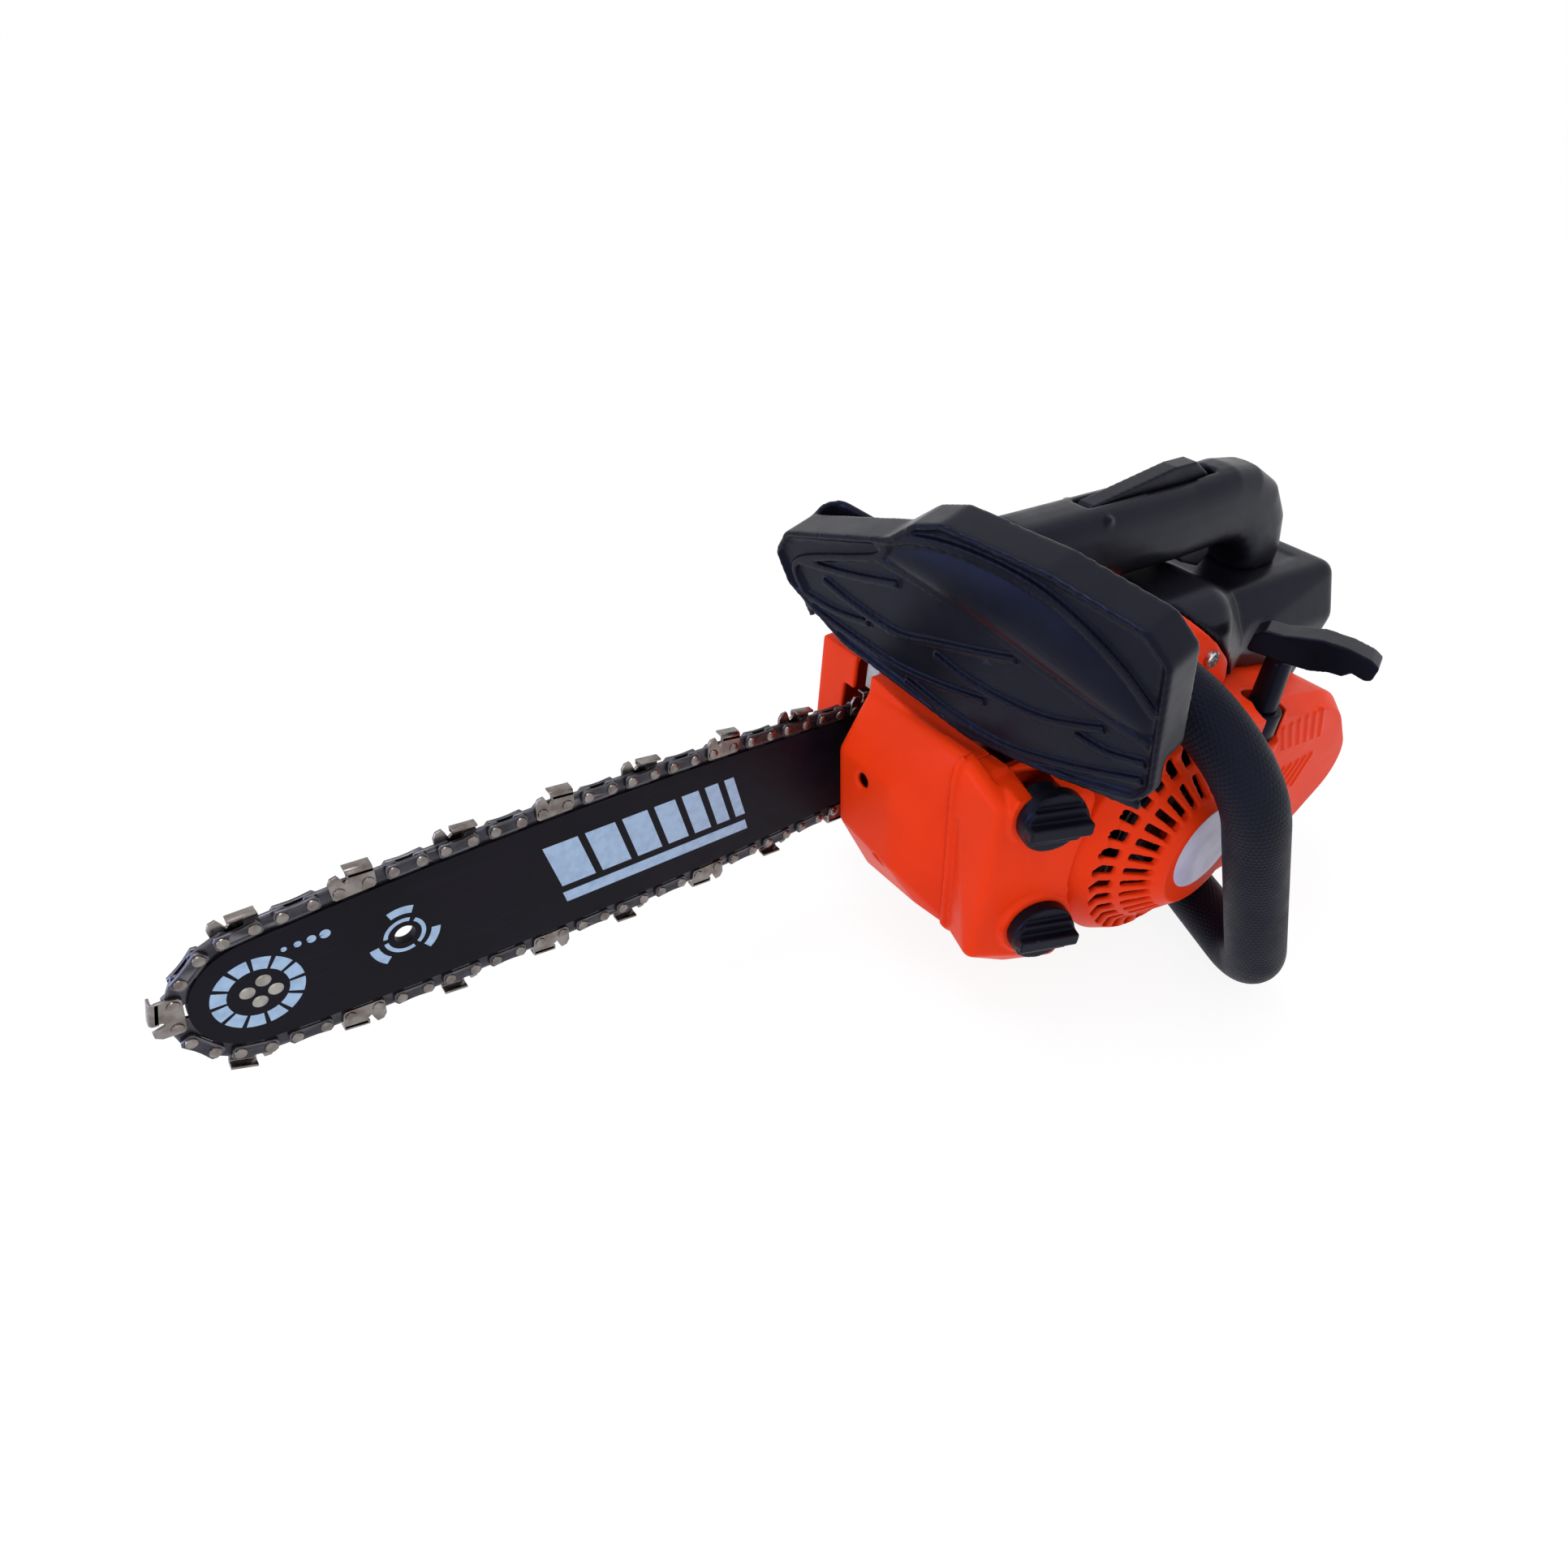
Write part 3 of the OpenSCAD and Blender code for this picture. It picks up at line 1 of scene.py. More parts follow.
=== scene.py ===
"""Finishes a top-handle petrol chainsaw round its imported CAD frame.

Everything is in metres, +X to the bar's nose, +Y to the starter side, +Z up. The first operator sets out
the studio, and each of the others makes one piece of the saw or one group of like pieces.
"""

import json
import math

import bmesh
import bpy
from mathutils import Matrix, Vector


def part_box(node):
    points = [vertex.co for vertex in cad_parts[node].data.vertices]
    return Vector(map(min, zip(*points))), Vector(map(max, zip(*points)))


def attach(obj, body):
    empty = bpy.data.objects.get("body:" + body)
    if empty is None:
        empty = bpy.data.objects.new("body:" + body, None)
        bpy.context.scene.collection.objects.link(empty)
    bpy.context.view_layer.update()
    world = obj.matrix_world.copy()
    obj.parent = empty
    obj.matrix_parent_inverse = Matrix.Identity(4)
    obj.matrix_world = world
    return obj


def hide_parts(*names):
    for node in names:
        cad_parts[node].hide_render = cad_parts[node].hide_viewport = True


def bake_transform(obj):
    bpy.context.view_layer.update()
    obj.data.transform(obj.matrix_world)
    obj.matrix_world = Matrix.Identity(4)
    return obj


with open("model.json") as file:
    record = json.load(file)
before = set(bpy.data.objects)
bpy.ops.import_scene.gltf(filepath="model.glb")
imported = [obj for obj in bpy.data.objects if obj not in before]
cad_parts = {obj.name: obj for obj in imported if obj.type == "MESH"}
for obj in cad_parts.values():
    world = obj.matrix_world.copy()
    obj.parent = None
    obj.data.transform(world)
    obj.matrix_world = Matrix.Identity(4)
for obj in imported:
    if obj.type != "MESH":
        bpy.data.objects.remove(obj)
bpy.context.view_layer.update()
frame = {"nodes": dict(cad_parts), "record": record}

bl_info = {
    "name": "Top-Handle Chainsaw",
    "version": (1, 0, 0),
    "blender": (4, 5, 0),
    "location": "View3D > Sidebar > Chainsaw",
    "description": "Finishes the casings, guard, handles, bar and chain of a top-handle chainsaw",
    "category": "Add Mesh",
}

MM = 0.001
ROOT = "powerhead"
SLOT_OF = {part["node"]: part["material_slot"] for part in frame["record"]["subparts"]}
BODY_OF = {node: body for body, nodes in frame["record"]["behaviour"]["bodies"].items()
           for node in nodes}


def linear(shade):
    """An sRGB hex colour as linear red, green, blue."""
    parts = [int(shade[i:i + 2], 16) / 255 for i in (1, 3, 5)]
    return [c / 12.92 if c <= 0.04045 else ((c + 0.055) / 1.055) ** 2.4 for c in parts]


def colour_prop(name, shade, description):
    """A colour that the user can change, from an sRGB hex."""
    return bpy.props.FloatVectorProperty(
        name=name, description=description, subtype="COLOR", min=0, max=1, default=linear(shade))


def length_prop(name, size, description):
    """A length that the user can change, from millimetres."""
    return bpy.props.FloatProperty(
        name=name, description=description, unit="LENGTH", min=0, default=size * MM)


class SawColours(bpy.types.PropertyGroup):
    casing: colour_prop("Casing", "#E8370B", "Orange of the moulded casings")
    grip: colour_prop("Grip", "#0C0B10", "Black of the handles, the guard and the filter box")
    sleeve: colour_prop("Sleeve", "#0C0B10", "Rubber of the front handle's sleeve")
    switch: colour_prop("Switch", "#C4201A", "Red of the stop switch")
    bar: colour_prop("Bar", "#0D0B13", "Paint of the guide bar")
    print: colour_prop("Print", "#9DB9D6", "Pale blue of the bar's printed marks")
    badge: colour_prop("Badge", "#CDCBE2", "Bare label on the starter casing")
    blued: colour_prop("Blued steel", "#25242A", "Drive links and tie straps")
    cutter: colour_prop("Cutter", "#8C8784", "Chromed cutters and rivet heads")


class SawSizes(bpy.types.PropertyGroup):
    rib_width: length_prop("Rib width", 2.9, "Width of the ribs moulded into the hand guard")
    border_width: length_prop("Border width", 3.8, "Width of the two ribs that border its bowed panel")
    rib_height: length_prop("Rib height", 2.4, "How far the guard's ribs stand out of its plate")
    rivet: length_prop("Rivet radius", 2.2, "Radius of the chain's rivet heads")
    ink: length_prop("Ink", 0.06, "Thickness of the bar's printed marks")
    dimple: length_prop("Dimple pitch", 2.0, "Spacing of the small studs on the rubber sleeve")
    badge: length_prop("Badge radius", 20.5, "Radius of the bare label")


def linked(name, data):
    """A new object of that mesh, lamp or camera, in the scene."""
    made = bpy.data.objects.new(name, data)
    bpy.context.scene.collection.objects.link(made)
    return made


# ---------- nodes ----------
def put(tree, kind, feeds=(), **settings):
    """Adds one node: settings are its properties, feeds its input values or the sockets that feed it."""
    node = tree.nodes.new(kind)
    for name, value in settings.items():
        setattr(node, name, value)
    for key, value in dict(feeds).items():
        if isinstance(value, bpy.types.NodeSocket):
            tree.links.new(value, node.inputs[key])
        else:
            node.inputs[key].default_value = value
    return node


def maths(tree, operation, first, second=0.0):
    """The outcome of one sum on one or two values."""
    return put(tree, "ShaderNodeMath", {0: first, 1: second}, operation=operation).outputs[0]


def blank_tree(name, sizes):
    """A geometry tree with one Geometry input and the named sizes, and its group input node."""
    tree = bpy.data.node_groups.new(name, "GeometryNodeTree")
    tree.interface.new_socket("Geometry", in_out="INPUT", socket_type="NodeSocketGeometry")
    for label, kind in sizes:
        tree.interface.new_socket(label, in_out="INPUT", socket_type=kind)
    tree.interface.new_socket("Geometry", in_out="OUTPUT", socket_type="NodeSocketGeometry")
    return tree, tree.nodes.new("NodeGroupInput")


def close_tree(tree, start, geometry):
    """Ends a tree in Realize Instances and Set Material."""
    real = put(tree, "GeometryNodeRealizeInstances", {"Geometry": geometry})
    coated = put(tree, "GeometryNodeSetMaterial",
                 {"Geometry": real.outputs[0], "Material": start.outputs["Finish"]})
    put(tree, "NodeGroupOutput", {"Geometry": coated.outputs[0]})


def rib_tree():
    """Sweeps an upright rectangular rib along every run of edges."""
    tree, start = blank_tree("Moulded rib", [
        ("Width", "NodeSocketFloat"), ("Height", "NodeSocketFloat"), ("Step", "NodeSocketFloat"),
        ("Finish", "NodeSocketMaterial")])
    run = put(tree, "GeometryNodeMeshToCurve", {"Mesh": start.outputs["Geometry"]})
    smooth = put(tree, "GeometryNodeCurveSplineType", {"Curve": run.outputs[0]},
                 spline_type="CATMULL_ROM")
    even = put(tree, "GeometryNodeResampleCurve",
               {"Curve": smooth.outputs[0], "Length": start.outputs["Step"]}, mode="LENGTH")
    upright = put(tree, "GeometryNodeSetCurveNormal", {"Curve": even.outputs[0]}, mode="Z_UP")
    section = put(tree, "GeometryNodeCurvePrimitiveQuadrilateral",
                  {"Width": start.outputs["Width"], "Height": start.outputs["Height"]})
    swept = put(tree, "GeometryNodeCurveToMesh",
                {"Curve": upright.outputs[0], "Profile Curve": section.outputs[0],
                 "Fill Caps": True})
    close_tree(tree, start, swept.outputs[0])
    return tree


def set_out_tree():
    """Puts a copy of one piece on every point, turned as the point's turn attribute says."""
    tree, start = blank_tree("Set out on points", [
        ("Piece", "NodeSocketObject"), ("Scale", "NodeSocketFloat"), ("Finish", "NodeSocketMaterial")])
    piece = put(tree, "GeometryNodeObjectInfo", {"Object": start.outputs["Piece"]})
    turn = put(tree, "GeometryNodeInputNamedAttribute", {"Name": "turn"}, data_type="FLOAT_VECTOR")
    copies = put(tree, "GeometryNodeInstanceOnPoints", {
        "Points": start.outputs["Geometry"], "Instance": piece.outputs["Geometry"],
        "Rotation": turn.outputs["Attribute"], "Scale": start.outputs["Scale"]})
    close_tree(tree, start, copies.outputs[0])
    return tree


TREES = {}


def tree_named(name):
    """The geometry tree of that name, built when it is first asked for."""
    makers = {"rib": rib_tree, "set out": set_out_tree}
    if name not in TREES:
        TREES[name] = makers[name]()
    return TREES[name]


def run_tree(name, mesh, **values):
    """The plain mesh that a geometry tree makes from mesh, with its named inputs set."""
    host = linked("host", mesh)
    tree = tree_named(name)
    modifier = host.modifiers.new(name, "NODES")
    modifier.node_group = tree
    for item in tree.interface.items_tree:
        if item.in_out == "INPUT" and item.name in values:
            modifier[item.identifier] = values[item.name]
    settle(host)
    made = host.data
    bpy.data.objects.remove(host)
    return made


# ---------- meshes ----------
def baked(shape, name, closed=True):
    """The mesh of a finished shape, with the faces of a closed one turned outwards."""
    if closed:
        bmesh.ops.recalc_face_normals(shape, faces=shape.faces)
    mesh = bpy.data.meshes.new(name)
    shape.to_mesh(mesh)
    shape.free()
    return mesh


def settle(piece):
    """Turns a piece and its modifiers into a plain mesh."""
    bpy.context.view_layer.update()
    whole = piece.evaluated_get(bpy.context.evaluated_depsgraph_get())
    made = bpy.data.meshes.new_from_object(whole)
    piece.modifiers.clear()
    piece.data = made


def cad_mesh(node):
    """A merged copy of a CAD node's mesh."""
    shape = bmesh.new()
    shape.from_mesh(frame["nodes"][node].data)
    bmesh.ops.remove_doubles(shape, verts=shape.verts, dist=2e-6)
    mesh = baked(shape, node + "_copy", closed=False)
    for layer in ("custom_normal", "UVMap"):
        if layer in mesh.attributes:
            mesh.attributes.remove(mesh.attributes[layer])
    return mesh


def joined(*meshes):
    """One mesh of several."""
    shape = bmesh.new()
    for mesh in meshes:
        shape.from_mesh(mesh)
    return baked(shape, "joined", closed=False)


def moved(mesh, matrix):
    """The same mesh, moved by a matrix."""
    mesh.transform(matrix)
    return mesh


def line_mesh(runs):
    """Runs of points as one mesh of edges."""
    points = [p for run in runs for p in run]
    edges, first = [], 0
    for run in runs:
        edges += [(first + i, first + i + 1) for i in range(len(run) - 1)]
        first += len(run)
    mesh = bpy.data.meshes.new("line")
    mesh.from_pydata(points, edges, [])
    return mesh


def point_mesh(points, turns):
    """Points that carry a turn each, as Euler angles."""
    mesh = bpy.data.meshes.new("points")
    mesh.from_pydata([tuple(p) for p in points], [], [])
    layer = mesh.attributes.new("turn", "FLOAT_VECTOR", "POINT")
    for item, turn in zip(layer.data, turns):
        item.vector = turn
    return mesh


def prism(outline, low, high):
    """Solid with an outline in x and y, from low to high in z."""
    shape = bmesh.new()
    rings = [[shape.verts.new((x, y, z)) for x, y in outline] for z in (low, high)]
    count = len(outline)
    shape.faces.new(rings[0])
    shape.faces.new(rings[1])
    for i in range(count):
        j = (i + 1) % count
        shape.faces.new((rings[0][i], rings[0][j], rings[1][j], rings[1][i]))
    return baked(shape, "prism")


def turned(profile, steps):
    """Solid of revolution round z from (radius, height) pairs that start and end on the axis."""
    shape = bmesh.new()
    rings = []
    for radius, height in profile:
        if radius == 0:
            rings.append([shape.verts.new((0, 0, height))])
        else:
            rings.append([shape.verts.new((radius * math.cos(a), radius * math.sin(a), height))
                          for a in (math.tau * i / steps for i in range(steps))])
    for low, high in zip(rings, rings[1:]):
        for i in range(steps):
            j = (i + 1) % steps
            corners = [low[i % len(low)], low[j % len(low)], high[j % len(high)], high[i % len(high)]]
            shape.faces.new(list(dict.fromkeys(corners)))
    return baked(shape, "turned")


def ring_outline(radius, width, start, end, steps):
    """Outline of a flat arc from angle start to end."""
    angles = [math.radians(start + (end - start) * i / steps) for i in range(steps + 1)]
    outer = [((radius + width) * math.cos(a), (radius + width) * math.sin(a)) for a in angles]
    inner = [(radius * math.cos(a), radius * math.sin(a)) for a in reversed(angles)]
    return outer + inner


def islands(node):
    """Centres of the separate solids of a CAD node."""
    shape = bmesh.new()
    shape.from_mesh(cad_mesh(node))
    left = set(shape.verts)
    centres = []
    while left:
        todo, found = [left.pop()], []
        while todo:
            vert = todo.pop()
            found.append(vert.co.copy())
            for edge in vert.link_edges:
                other = edge.other_vert(vert)
                if other in left:
                    left.remove(other)
                    todo.append(other)
        low = Vector(min(p[i] for p in found) for i in range(3))
        high = Vector(max(p[i] for p in found) for i in range(3))
        centres.append((low + high) / 2)
    shape.free()
    return centres


# ---------- pieces ----------
def place(name, mesh, slot, nodes=(), body=ROOT, finish=None):
    """Makes the mesh a piece that stands for the CAD nodes and rides on body, unless that is None.

    It has its slot's finish, or another one by name.
    """
    mesh.materials.clear()
    mesh.materials.append(finishes()[finish or slot])
    mesh.name = name
    piece = linked(name, mesh)
    if body:
        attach(piece, body)
    if nodes:
        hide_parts(*nodes)
    return piece


def melted(solids, grain_size, rounds, faces):
    """Melts closed solids into one moulding, smoothed in rounds and kept under a number of faces."""
    piece = linked("melt", joined(*solids))
    recast = piece.modifiers.new("recast", "REMESH")
    recast.mode = "VOXEL"
    recast.voxel_size = grain_size
    soften = piece.modifiers.new("soften", "SMOOTH")
    soften.factor = 0.5
    soften.iterations = rounds
    settle(piece)
    count = 2 * len(piece.data.polygons)
    if count > faces:
        thin = piece.modifiers.new("thin", "DECIMATE")
        thin.ratio = faces / count
        settle(piece)
    mesh = piece.data
    mesh.shade_smooth()
    bpy.data.objects.remove(piece)
    return mesh


def eased(mesh, width, segments=2):
    """Rounds the edges of a solid with flat and turned faces."""
    shape = bmesh.new()
    shape.from_mesh(mesh)
    bmesh.ops.dissolve_limit(shape, angle_limit=math.radians(0.6), verts=shape.verts, edges=shape.edges)
    shape.to_mesh(mesh)
    shape.free()
    mesh.shade_smooth()
    piece = linked("ease", mesh)
    bevel = piece.modifiers.new("ease", "BEVEL")
    bevel.limit_method = "ANGLE"
    bevel.angle_limit = math.radians(32)
    bevel.width = width
    bevel.segments = segments
    settle(piece)
    made = piece.data
    # the rounded edges are small faces of four corners or fewer; the flats keep their own shading
    for face in made.polygons:
        face.use_smooth = len(face.vertices) < 5 and face.area < 80 * MM * MM
    bpy.data.objects.remove(piece)
    return made


# ---------- finishes ----------
def surface(name, **shader_values):
    """A new material with its shader's own sockets set. Returns material, tree, shader, place."""
    material = bpy.data.materials.new(name)
    material.use_nodes = True
    tree = material.node_tree
    shader = tree.nodes["Principled BSDF"]
    for key, value in shader_values.items():
        shader.inputs[key.replace("_", " ")].default_value = value
    return material, tree, shader, put(tree, "ShaderNodeTexCoord").outputs["Object"]


def per(size_mm):
    """Texture scale that gives features of this size."""
    return 1 / (size_mm * MM)


def mottle(tree, shader, spot, base, other, patch_mm, low=0.35, high=0.65):
    """Colour that wanders between two shades in patches of a real size."""
    cloud = put(tree, "ShaderNodeTexNoise", {"Vector": spot, "Scale": per(patch_mm), "Detail": 5.0})
    shades = put(tree, "ShaderNodeValToRGB", {"Fac": cloud.outputs["Fac"]})
    for stop, shade, where in zip(shades.color_ramp.elements, (base, other), (low, high)):
        stop.color = (*shade, 1)
        stop.position = where
    tree.links.new(shades.outputs["Color"], shader.inputs["Base Color"])
    return shades.outputs["Color"]


def worn_gloss(tree, shader, spot, low, high, patch_mm):
    """Roughness that varies where hands and dust have dulled the surface."""
    cloud = put(tree, "ShaderNodeTexNoise",
                {"Vector": spot, "Scale": per(patch_mm), "Detail": 6.0, "Roughness": 0.65})
    level = put(tree, "ShaderNodeMapRange", {
        "Value": cloud.outputs["Fac"], "From Min": 0.3, "From Max": 0.7, "To Min": low, "To Max": high})
    tree.links.new(level.outputs[0], shader.inputs["Roughness"])


def relief(tree, height, depth_mm, **under):
    """Raises a surface by a height of zero to one, times a real depth."""
    feeds = {"Height": height, "Distance": depth_mm * MM, "Strength": 1.0, **under}
    return put(tree, "ShaderNodeBump", feeds).outputs[0]


def grain(tree, shader, spot, size_mm, depth_mm, **under):
    """Fine relief of a real size and depth, over another relief where one is given as Normal."""
    bits = put(tree, "ShaderNodeTexNoise", {"Vector": spot, "Scale": per(size_mm), "Detail": 3.0})
    tree.links.new(relief(tree, bits.outputs["Fac"], depth_mm, **under), shader.inputs["Normal"])


def mixed(tree, share, first, second):
    """The second colour over the first, by share."""
    node = put(tree, "ShaderNodeMix", {0: share, 6: first, 7: second}, data_type="RGBA")
    return node.outputs[2]


def edge_wear_and_highlight(tree, shader, colour, shade, start, end):
    """Mixes a colour into the form's outer edges, found by their pointiness: real rubbed wear on chain
    steel, a painted highlight on the moulded plastics.
    """
    form = put(tree, "ShaderNodeNewGeometry")
    share = put(tree, "ShaderNodeMapRange", {
        "Value": form.outputs["Pointiness"], "From Min": start, "From Max": end, "To Max": 0.5})
    wear_and_highlight = mixed(tree, share.outputs[0], colour, (*shade, 1))
    tree.links.new(wear_and_highlight, shader.inputs["Base Color"])


def moulded_orange(colours):
    """Injection-moulded nylon, pigmented orange: an even satin skin with a very fine spark grain, and a
    painted highlight of paler, pinker orange on its outer edges.
    """
    material, tree, shader, spot = surface("orange_moulded_nylon", Specular_IOR_Level=0.08)
    dull = [c * 0.9 for c in colours.casing]
    colour = mottle(tree, shader, spot, colours.casing, dull, 45)
    # painted highlight: a paler, pinker orange on the outer edges, where the light would catch them
    edge_wear_and_highlight(tree, shader, colour, linear("#F25A38"), 0.56, 0.66)
    worn_gloss(tree, shader, spot, 0.34, 0.46, 18)
    grain(tree, shader, spot, 0.9, 0.02)
    return material


def moulded_black(colours):
    """Glass-filled black nylon: satin, with handling haze; a blue tint painted into its reflections stands
    for a mirrored sky, and a painted blue-grey highlight runs along its outer edges.
    """
    # the blue specular tint is a painted reflection: the surround that it mirrors is white
    material, tree, shader, spot = surface(
        "black_moulded_nylon", Specular_IOR_Level=0.17, Specular_Tint=(*linear("#A0AEEC"), 1))
    hazed = linear("#111117")
    colour = mottle(tree, shader, spot, colours.grip, hazed, 26)
    # painted highlight: blue-grey on the outer edges, where the light would catch them
    edge_wear_and_highlight(tree, shader, colour, linear("#3A3F55"), 0.55, 0.68)
    worn_gloss(tree, shader, spot, 0.26, 0.38, 12)
    grain(tree, shader, spot, 0.8, 0.02)
    return material


def sleeve_rubber(colours):
    """Moulded nitrile rubber with rows of small raised studs that follow the tube."""
    # the blue specular tint is a painted reflection of sky, as on the black nylon
    material, tree, shader, spot = surface(
        "studded_rubber", Specular_IOR_Level=0.17, Specular_Tint=(*linear("#A0AEEC"), 1))
    along = put(tree, "ShaderNodeUVMap", uv_map="sleeve")
    mottle(tree, shader, spot, colours.sleeve, linear("#14151C"), 30)
    worn_gloss(tree, shader, spot, 0.42, 0.6, 15)
    # the map runs in studs along and round the tube, so one unit is one stud
    parts = put(tree, "ShaderNodeSeparateXYZ", {"Vector": along.outputs["UV"]})
    shift = maths(tree, "MULTIPLY", maths(tree, "FLOOR", parts.outputs["Y"]), 0.5)
    across = maths(tree, "FRACT", maths(tree, "ADD", parts.outputs["X"], shift))
    down = maths(tree, "FRACT", parts.outputs["Y"])
    cell = put(tree, "ShaderNodeCombineXYZ", {"X": across, "Y": down})
    off = put(tree, "ShaderNodeVectorMath", {0: cell.outputs[0], 1: (0.5, 0.5, 0)}, operation="DISTANCE")
    stud = put(tree, "ShaderNodeMapRange", {
        "Value": off.outputs["Value"], "From Min": 0.12, "From Max": 0.36, "To Min": 1.0, "To Max": 0.0},
        interpolation_type="SMOOTHSTEP")
    grain(tree, shader, spot, 0.9, 0.02, Normal=relief(tree, stud.outputs[0], 0.25))
    return material


def bar_paint(colours):
    """Black baked enamel on the steel bar: smooth, with fine drag scratches and a little dust."""
    material, tree, shader, spot = surface("black_bar_enamel", Specular_IOR_Level=0.08)
    colour = mottle(tree, shader, spot, colours.bar, linear("#13101A"), 40)
    # scratches run along the bar: 60 mm long and 0.5 mm wide
    stretched = put(tree, "ShaderNodeMapping", {"Vector": spot, "Scale": (per(60), per(9), per(0.5))})
    lines = put(tree, "ShaderNodeTexNoise", {"Vector": stretched.outputs[0], "Scale": 1.0, "Detail": 2.0})
    share = put(tree, "ShaderNodeMapRange", {
        "Value": lines.outputs["Fac"], "From Min": 0.64, "From Max": 0.72, "To Max": 0.25})
    scratched = mixed(tree, share.outputs[0], colour, (*linear("#34313C"), 1))
    tree.links.new(scratched, shader.inputs["Base Color"])
    worn_gloss(tree, shader, spot, 0.3, 0.5, 14)
    grain(tree, shader, stretched.outputs[0], 1000, 0.02)
    return material


def skin(name, base, other, patch_mm, gloss, grit, **shader_values):
    """A plain finish: two shades in patches, a range of roughness and a grain of real size and depth."""
    material, tree, shader, spot = surface(name, **shader_values)
    mottle(tree, shader, spot, base, other, patch_mm)
    if gloss:
        worn_gloss(tree, shader, spot, *gloss)
    grain(tree, shader, spot, *grit)
    return material


def printed_mark(colours):
    """Screen-printed ink, pale blue: matt, thin, with pinholes and rubbed patches."""
    material, tree, shader, spot = surface("pale_blue_ink", Roughness=0.55, IOR=1.5)
    mottle(tree, shader, spot, colours.print, linear("#8CA6C4"), 3.5, 0.42, 0.75)
    grain(tree, shader, spot, 0.6, 0.01)
    return material


def blued_steel(colours):
    """Blued chain steel: nearly black, oily, with brighter rubbed edges."""
    material, tree, shader, spot = surface("blued_chain_steel", Metallic=0.85)
    colour = mottle(tree, shader, spot, colours.blued, linear("#3A3840"), 4)
    edge_wear_and_highlight(tree, shader, colour, linear("#8C8A90"), 0.53, 0.62)
    worn_gloss(tree, shader, spot, 0.22, 0.42, 3)
    grain(tree, shader, spot, 0.5, 0.015)
    return material


def cast_metal():
    """Die-cast aluminium: a dull grey skin, pitted by the mould."""
    material, tree, shader, spot = surface("die_cast_aluminium", Metallic=1.0)
    mottle(tree, shader, spot, linear("#A3A6A9"), linear("#85888C"), 8)
    worn_gloss(tree, shader, spot, 0.45, 0.62, 5)
    pits = put(tree, "ShaderNodeTexVoronoi", {"Vector": spot, "Scale": per(1.2)})
    grain(tree, shader, spot, 0.8, 0.03, Normal=relief(tree, pits.outputs["Distance"], 0.05))
    return material


def twisted_rope():
    """Braided polyamide cord: off-white, matt, with a 3 mm braid."""
    material, tree, shader, spot = surface("braided_cord", Roughness=0.85, Sheen_Weight=0.3)
    turned_spot = put(tree, "ShaderNodeMapping", {"Vector": spot, "Rotation": (0.7, 0.7, 0)})
    braid = put(tree, "ShaderNodeTexWave", {
        "Vector": turned_spot.outputs[0], "Scale": per(3) / 6, "Distortion": 1.0})
    mottle(tree, shader, spot, linear("#E2DDCF"), linear("#C4BDAA"), 2)
    grain(tree, shader, spot, 0.5, 0.05, Normal=relief(tree, braid.outputs["Fac"], 0.3))
    return material


FINISHES = {}


def finishes():
    """The saw's finishes by record slot, made when they are first asked for."""
    if FINISHES:
        return FINISHES
    colours = bpy.context.scene.saw_colours
    FINISHES.update({
        "orange_plastic": moulded_orange(colours),
        "black_plastic": moulded_black(colours),
        # polished red ABS
        "red_plastic": skin("red_switch_abs", colours.switch, [c * 0.8 for c in colours.switch], 4,
                            (0.2, 0.32, 3), (0.6, 0.01), IOR=1.53),
        # soft black rubber, dull, with a powdery bloom
        "rubber": skin("soft_black_rubber", linear("#161617"), linear("#242427"), 9,
                       (0.6, 0.8, 7), (0.8, 0.04), Specular_IOR_Level=0.3),
        "sleeve": sleeve_rubber(colours),
        "cast_alloy": cast_metal(),
        # turned and ground steel, lightly oiled
        "steel": skin("turned_steel", linear("#A5A29C"), linear("#85827D"), 5,
                      (0.22, 0.4, 3), (0.5, 0.015), Metallic=1.0),
        # bright zinc plate on small screws
        "zinc": skin("zinc_plated_steel", linear("#C9CBCB"), linear("#AEB2B6"), 3,
                     (0.2, 0.34, 1.8), (0.5, 0.01), Metallic=1.0),
        "chain_steel": blued_steel(colours),
        # hard chrome over steel: bright, a little brown in its reflections
        "cutter_steel": skin("chromed_cutter_steel", colours.cutter, linear("#6B625E"), 5,
                             (0.2, 0.36, 2), (0.5, 0.012), Metallic=1.0),
        "bar_paint": bar_paint(colours),
        "ink": printed_mark(colours),
        # vinyl label film, pale lavender, with a faint crinkle
        "badge": skin("lavender_label_film", colours.badge, linear("#BDBAD6"), 12,
                      (0.28, 0.4, 6), (2.5, 0.03), IOR=1.46, Coat_Weight=0.2),
        # pressed aluminised sheet, dulled by heat
        "muffler_steel": skin("heat_dulled_sheet_steel", linear("#B5B1AE"), linear("#94908D"), 10,
                              (0.4, 0.6, 6), (0.8, 0.03), Metallic=0.8),
        # pressed filter felt: cream, fibrous and dusty
        "filter_felt": skin("filter_felt", linear("#D8D2B8"), linear("#B3AB8C"), 6,
                            None, (0.7, 0.2), Roughness=0.95, Sheen_Weight=0.4),
        "rope_fibre": twisted_rope(),
    })
    return FINISHES


# ---------- casings ----------
def fan_slats():
    """Ribs that stand on the rear lobe of the starter casing, in two fields of oblique lines."""
    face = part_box("housing_screws")[0].y
    runs = []
    for i in range(6):
        x = -0.112 + 0.0065 * i
        runs.append([(x + 0.004, face, 0.093 + 0.0008 * i), (x + 0.013, face, 0.112)])
    for i in range(8):
        x = -0.108 + 0.0058 * i
        runs.append([(x, face, 0.083), (x + 0.008, face, 0.066 + 0.0018 * i)])
    return runs


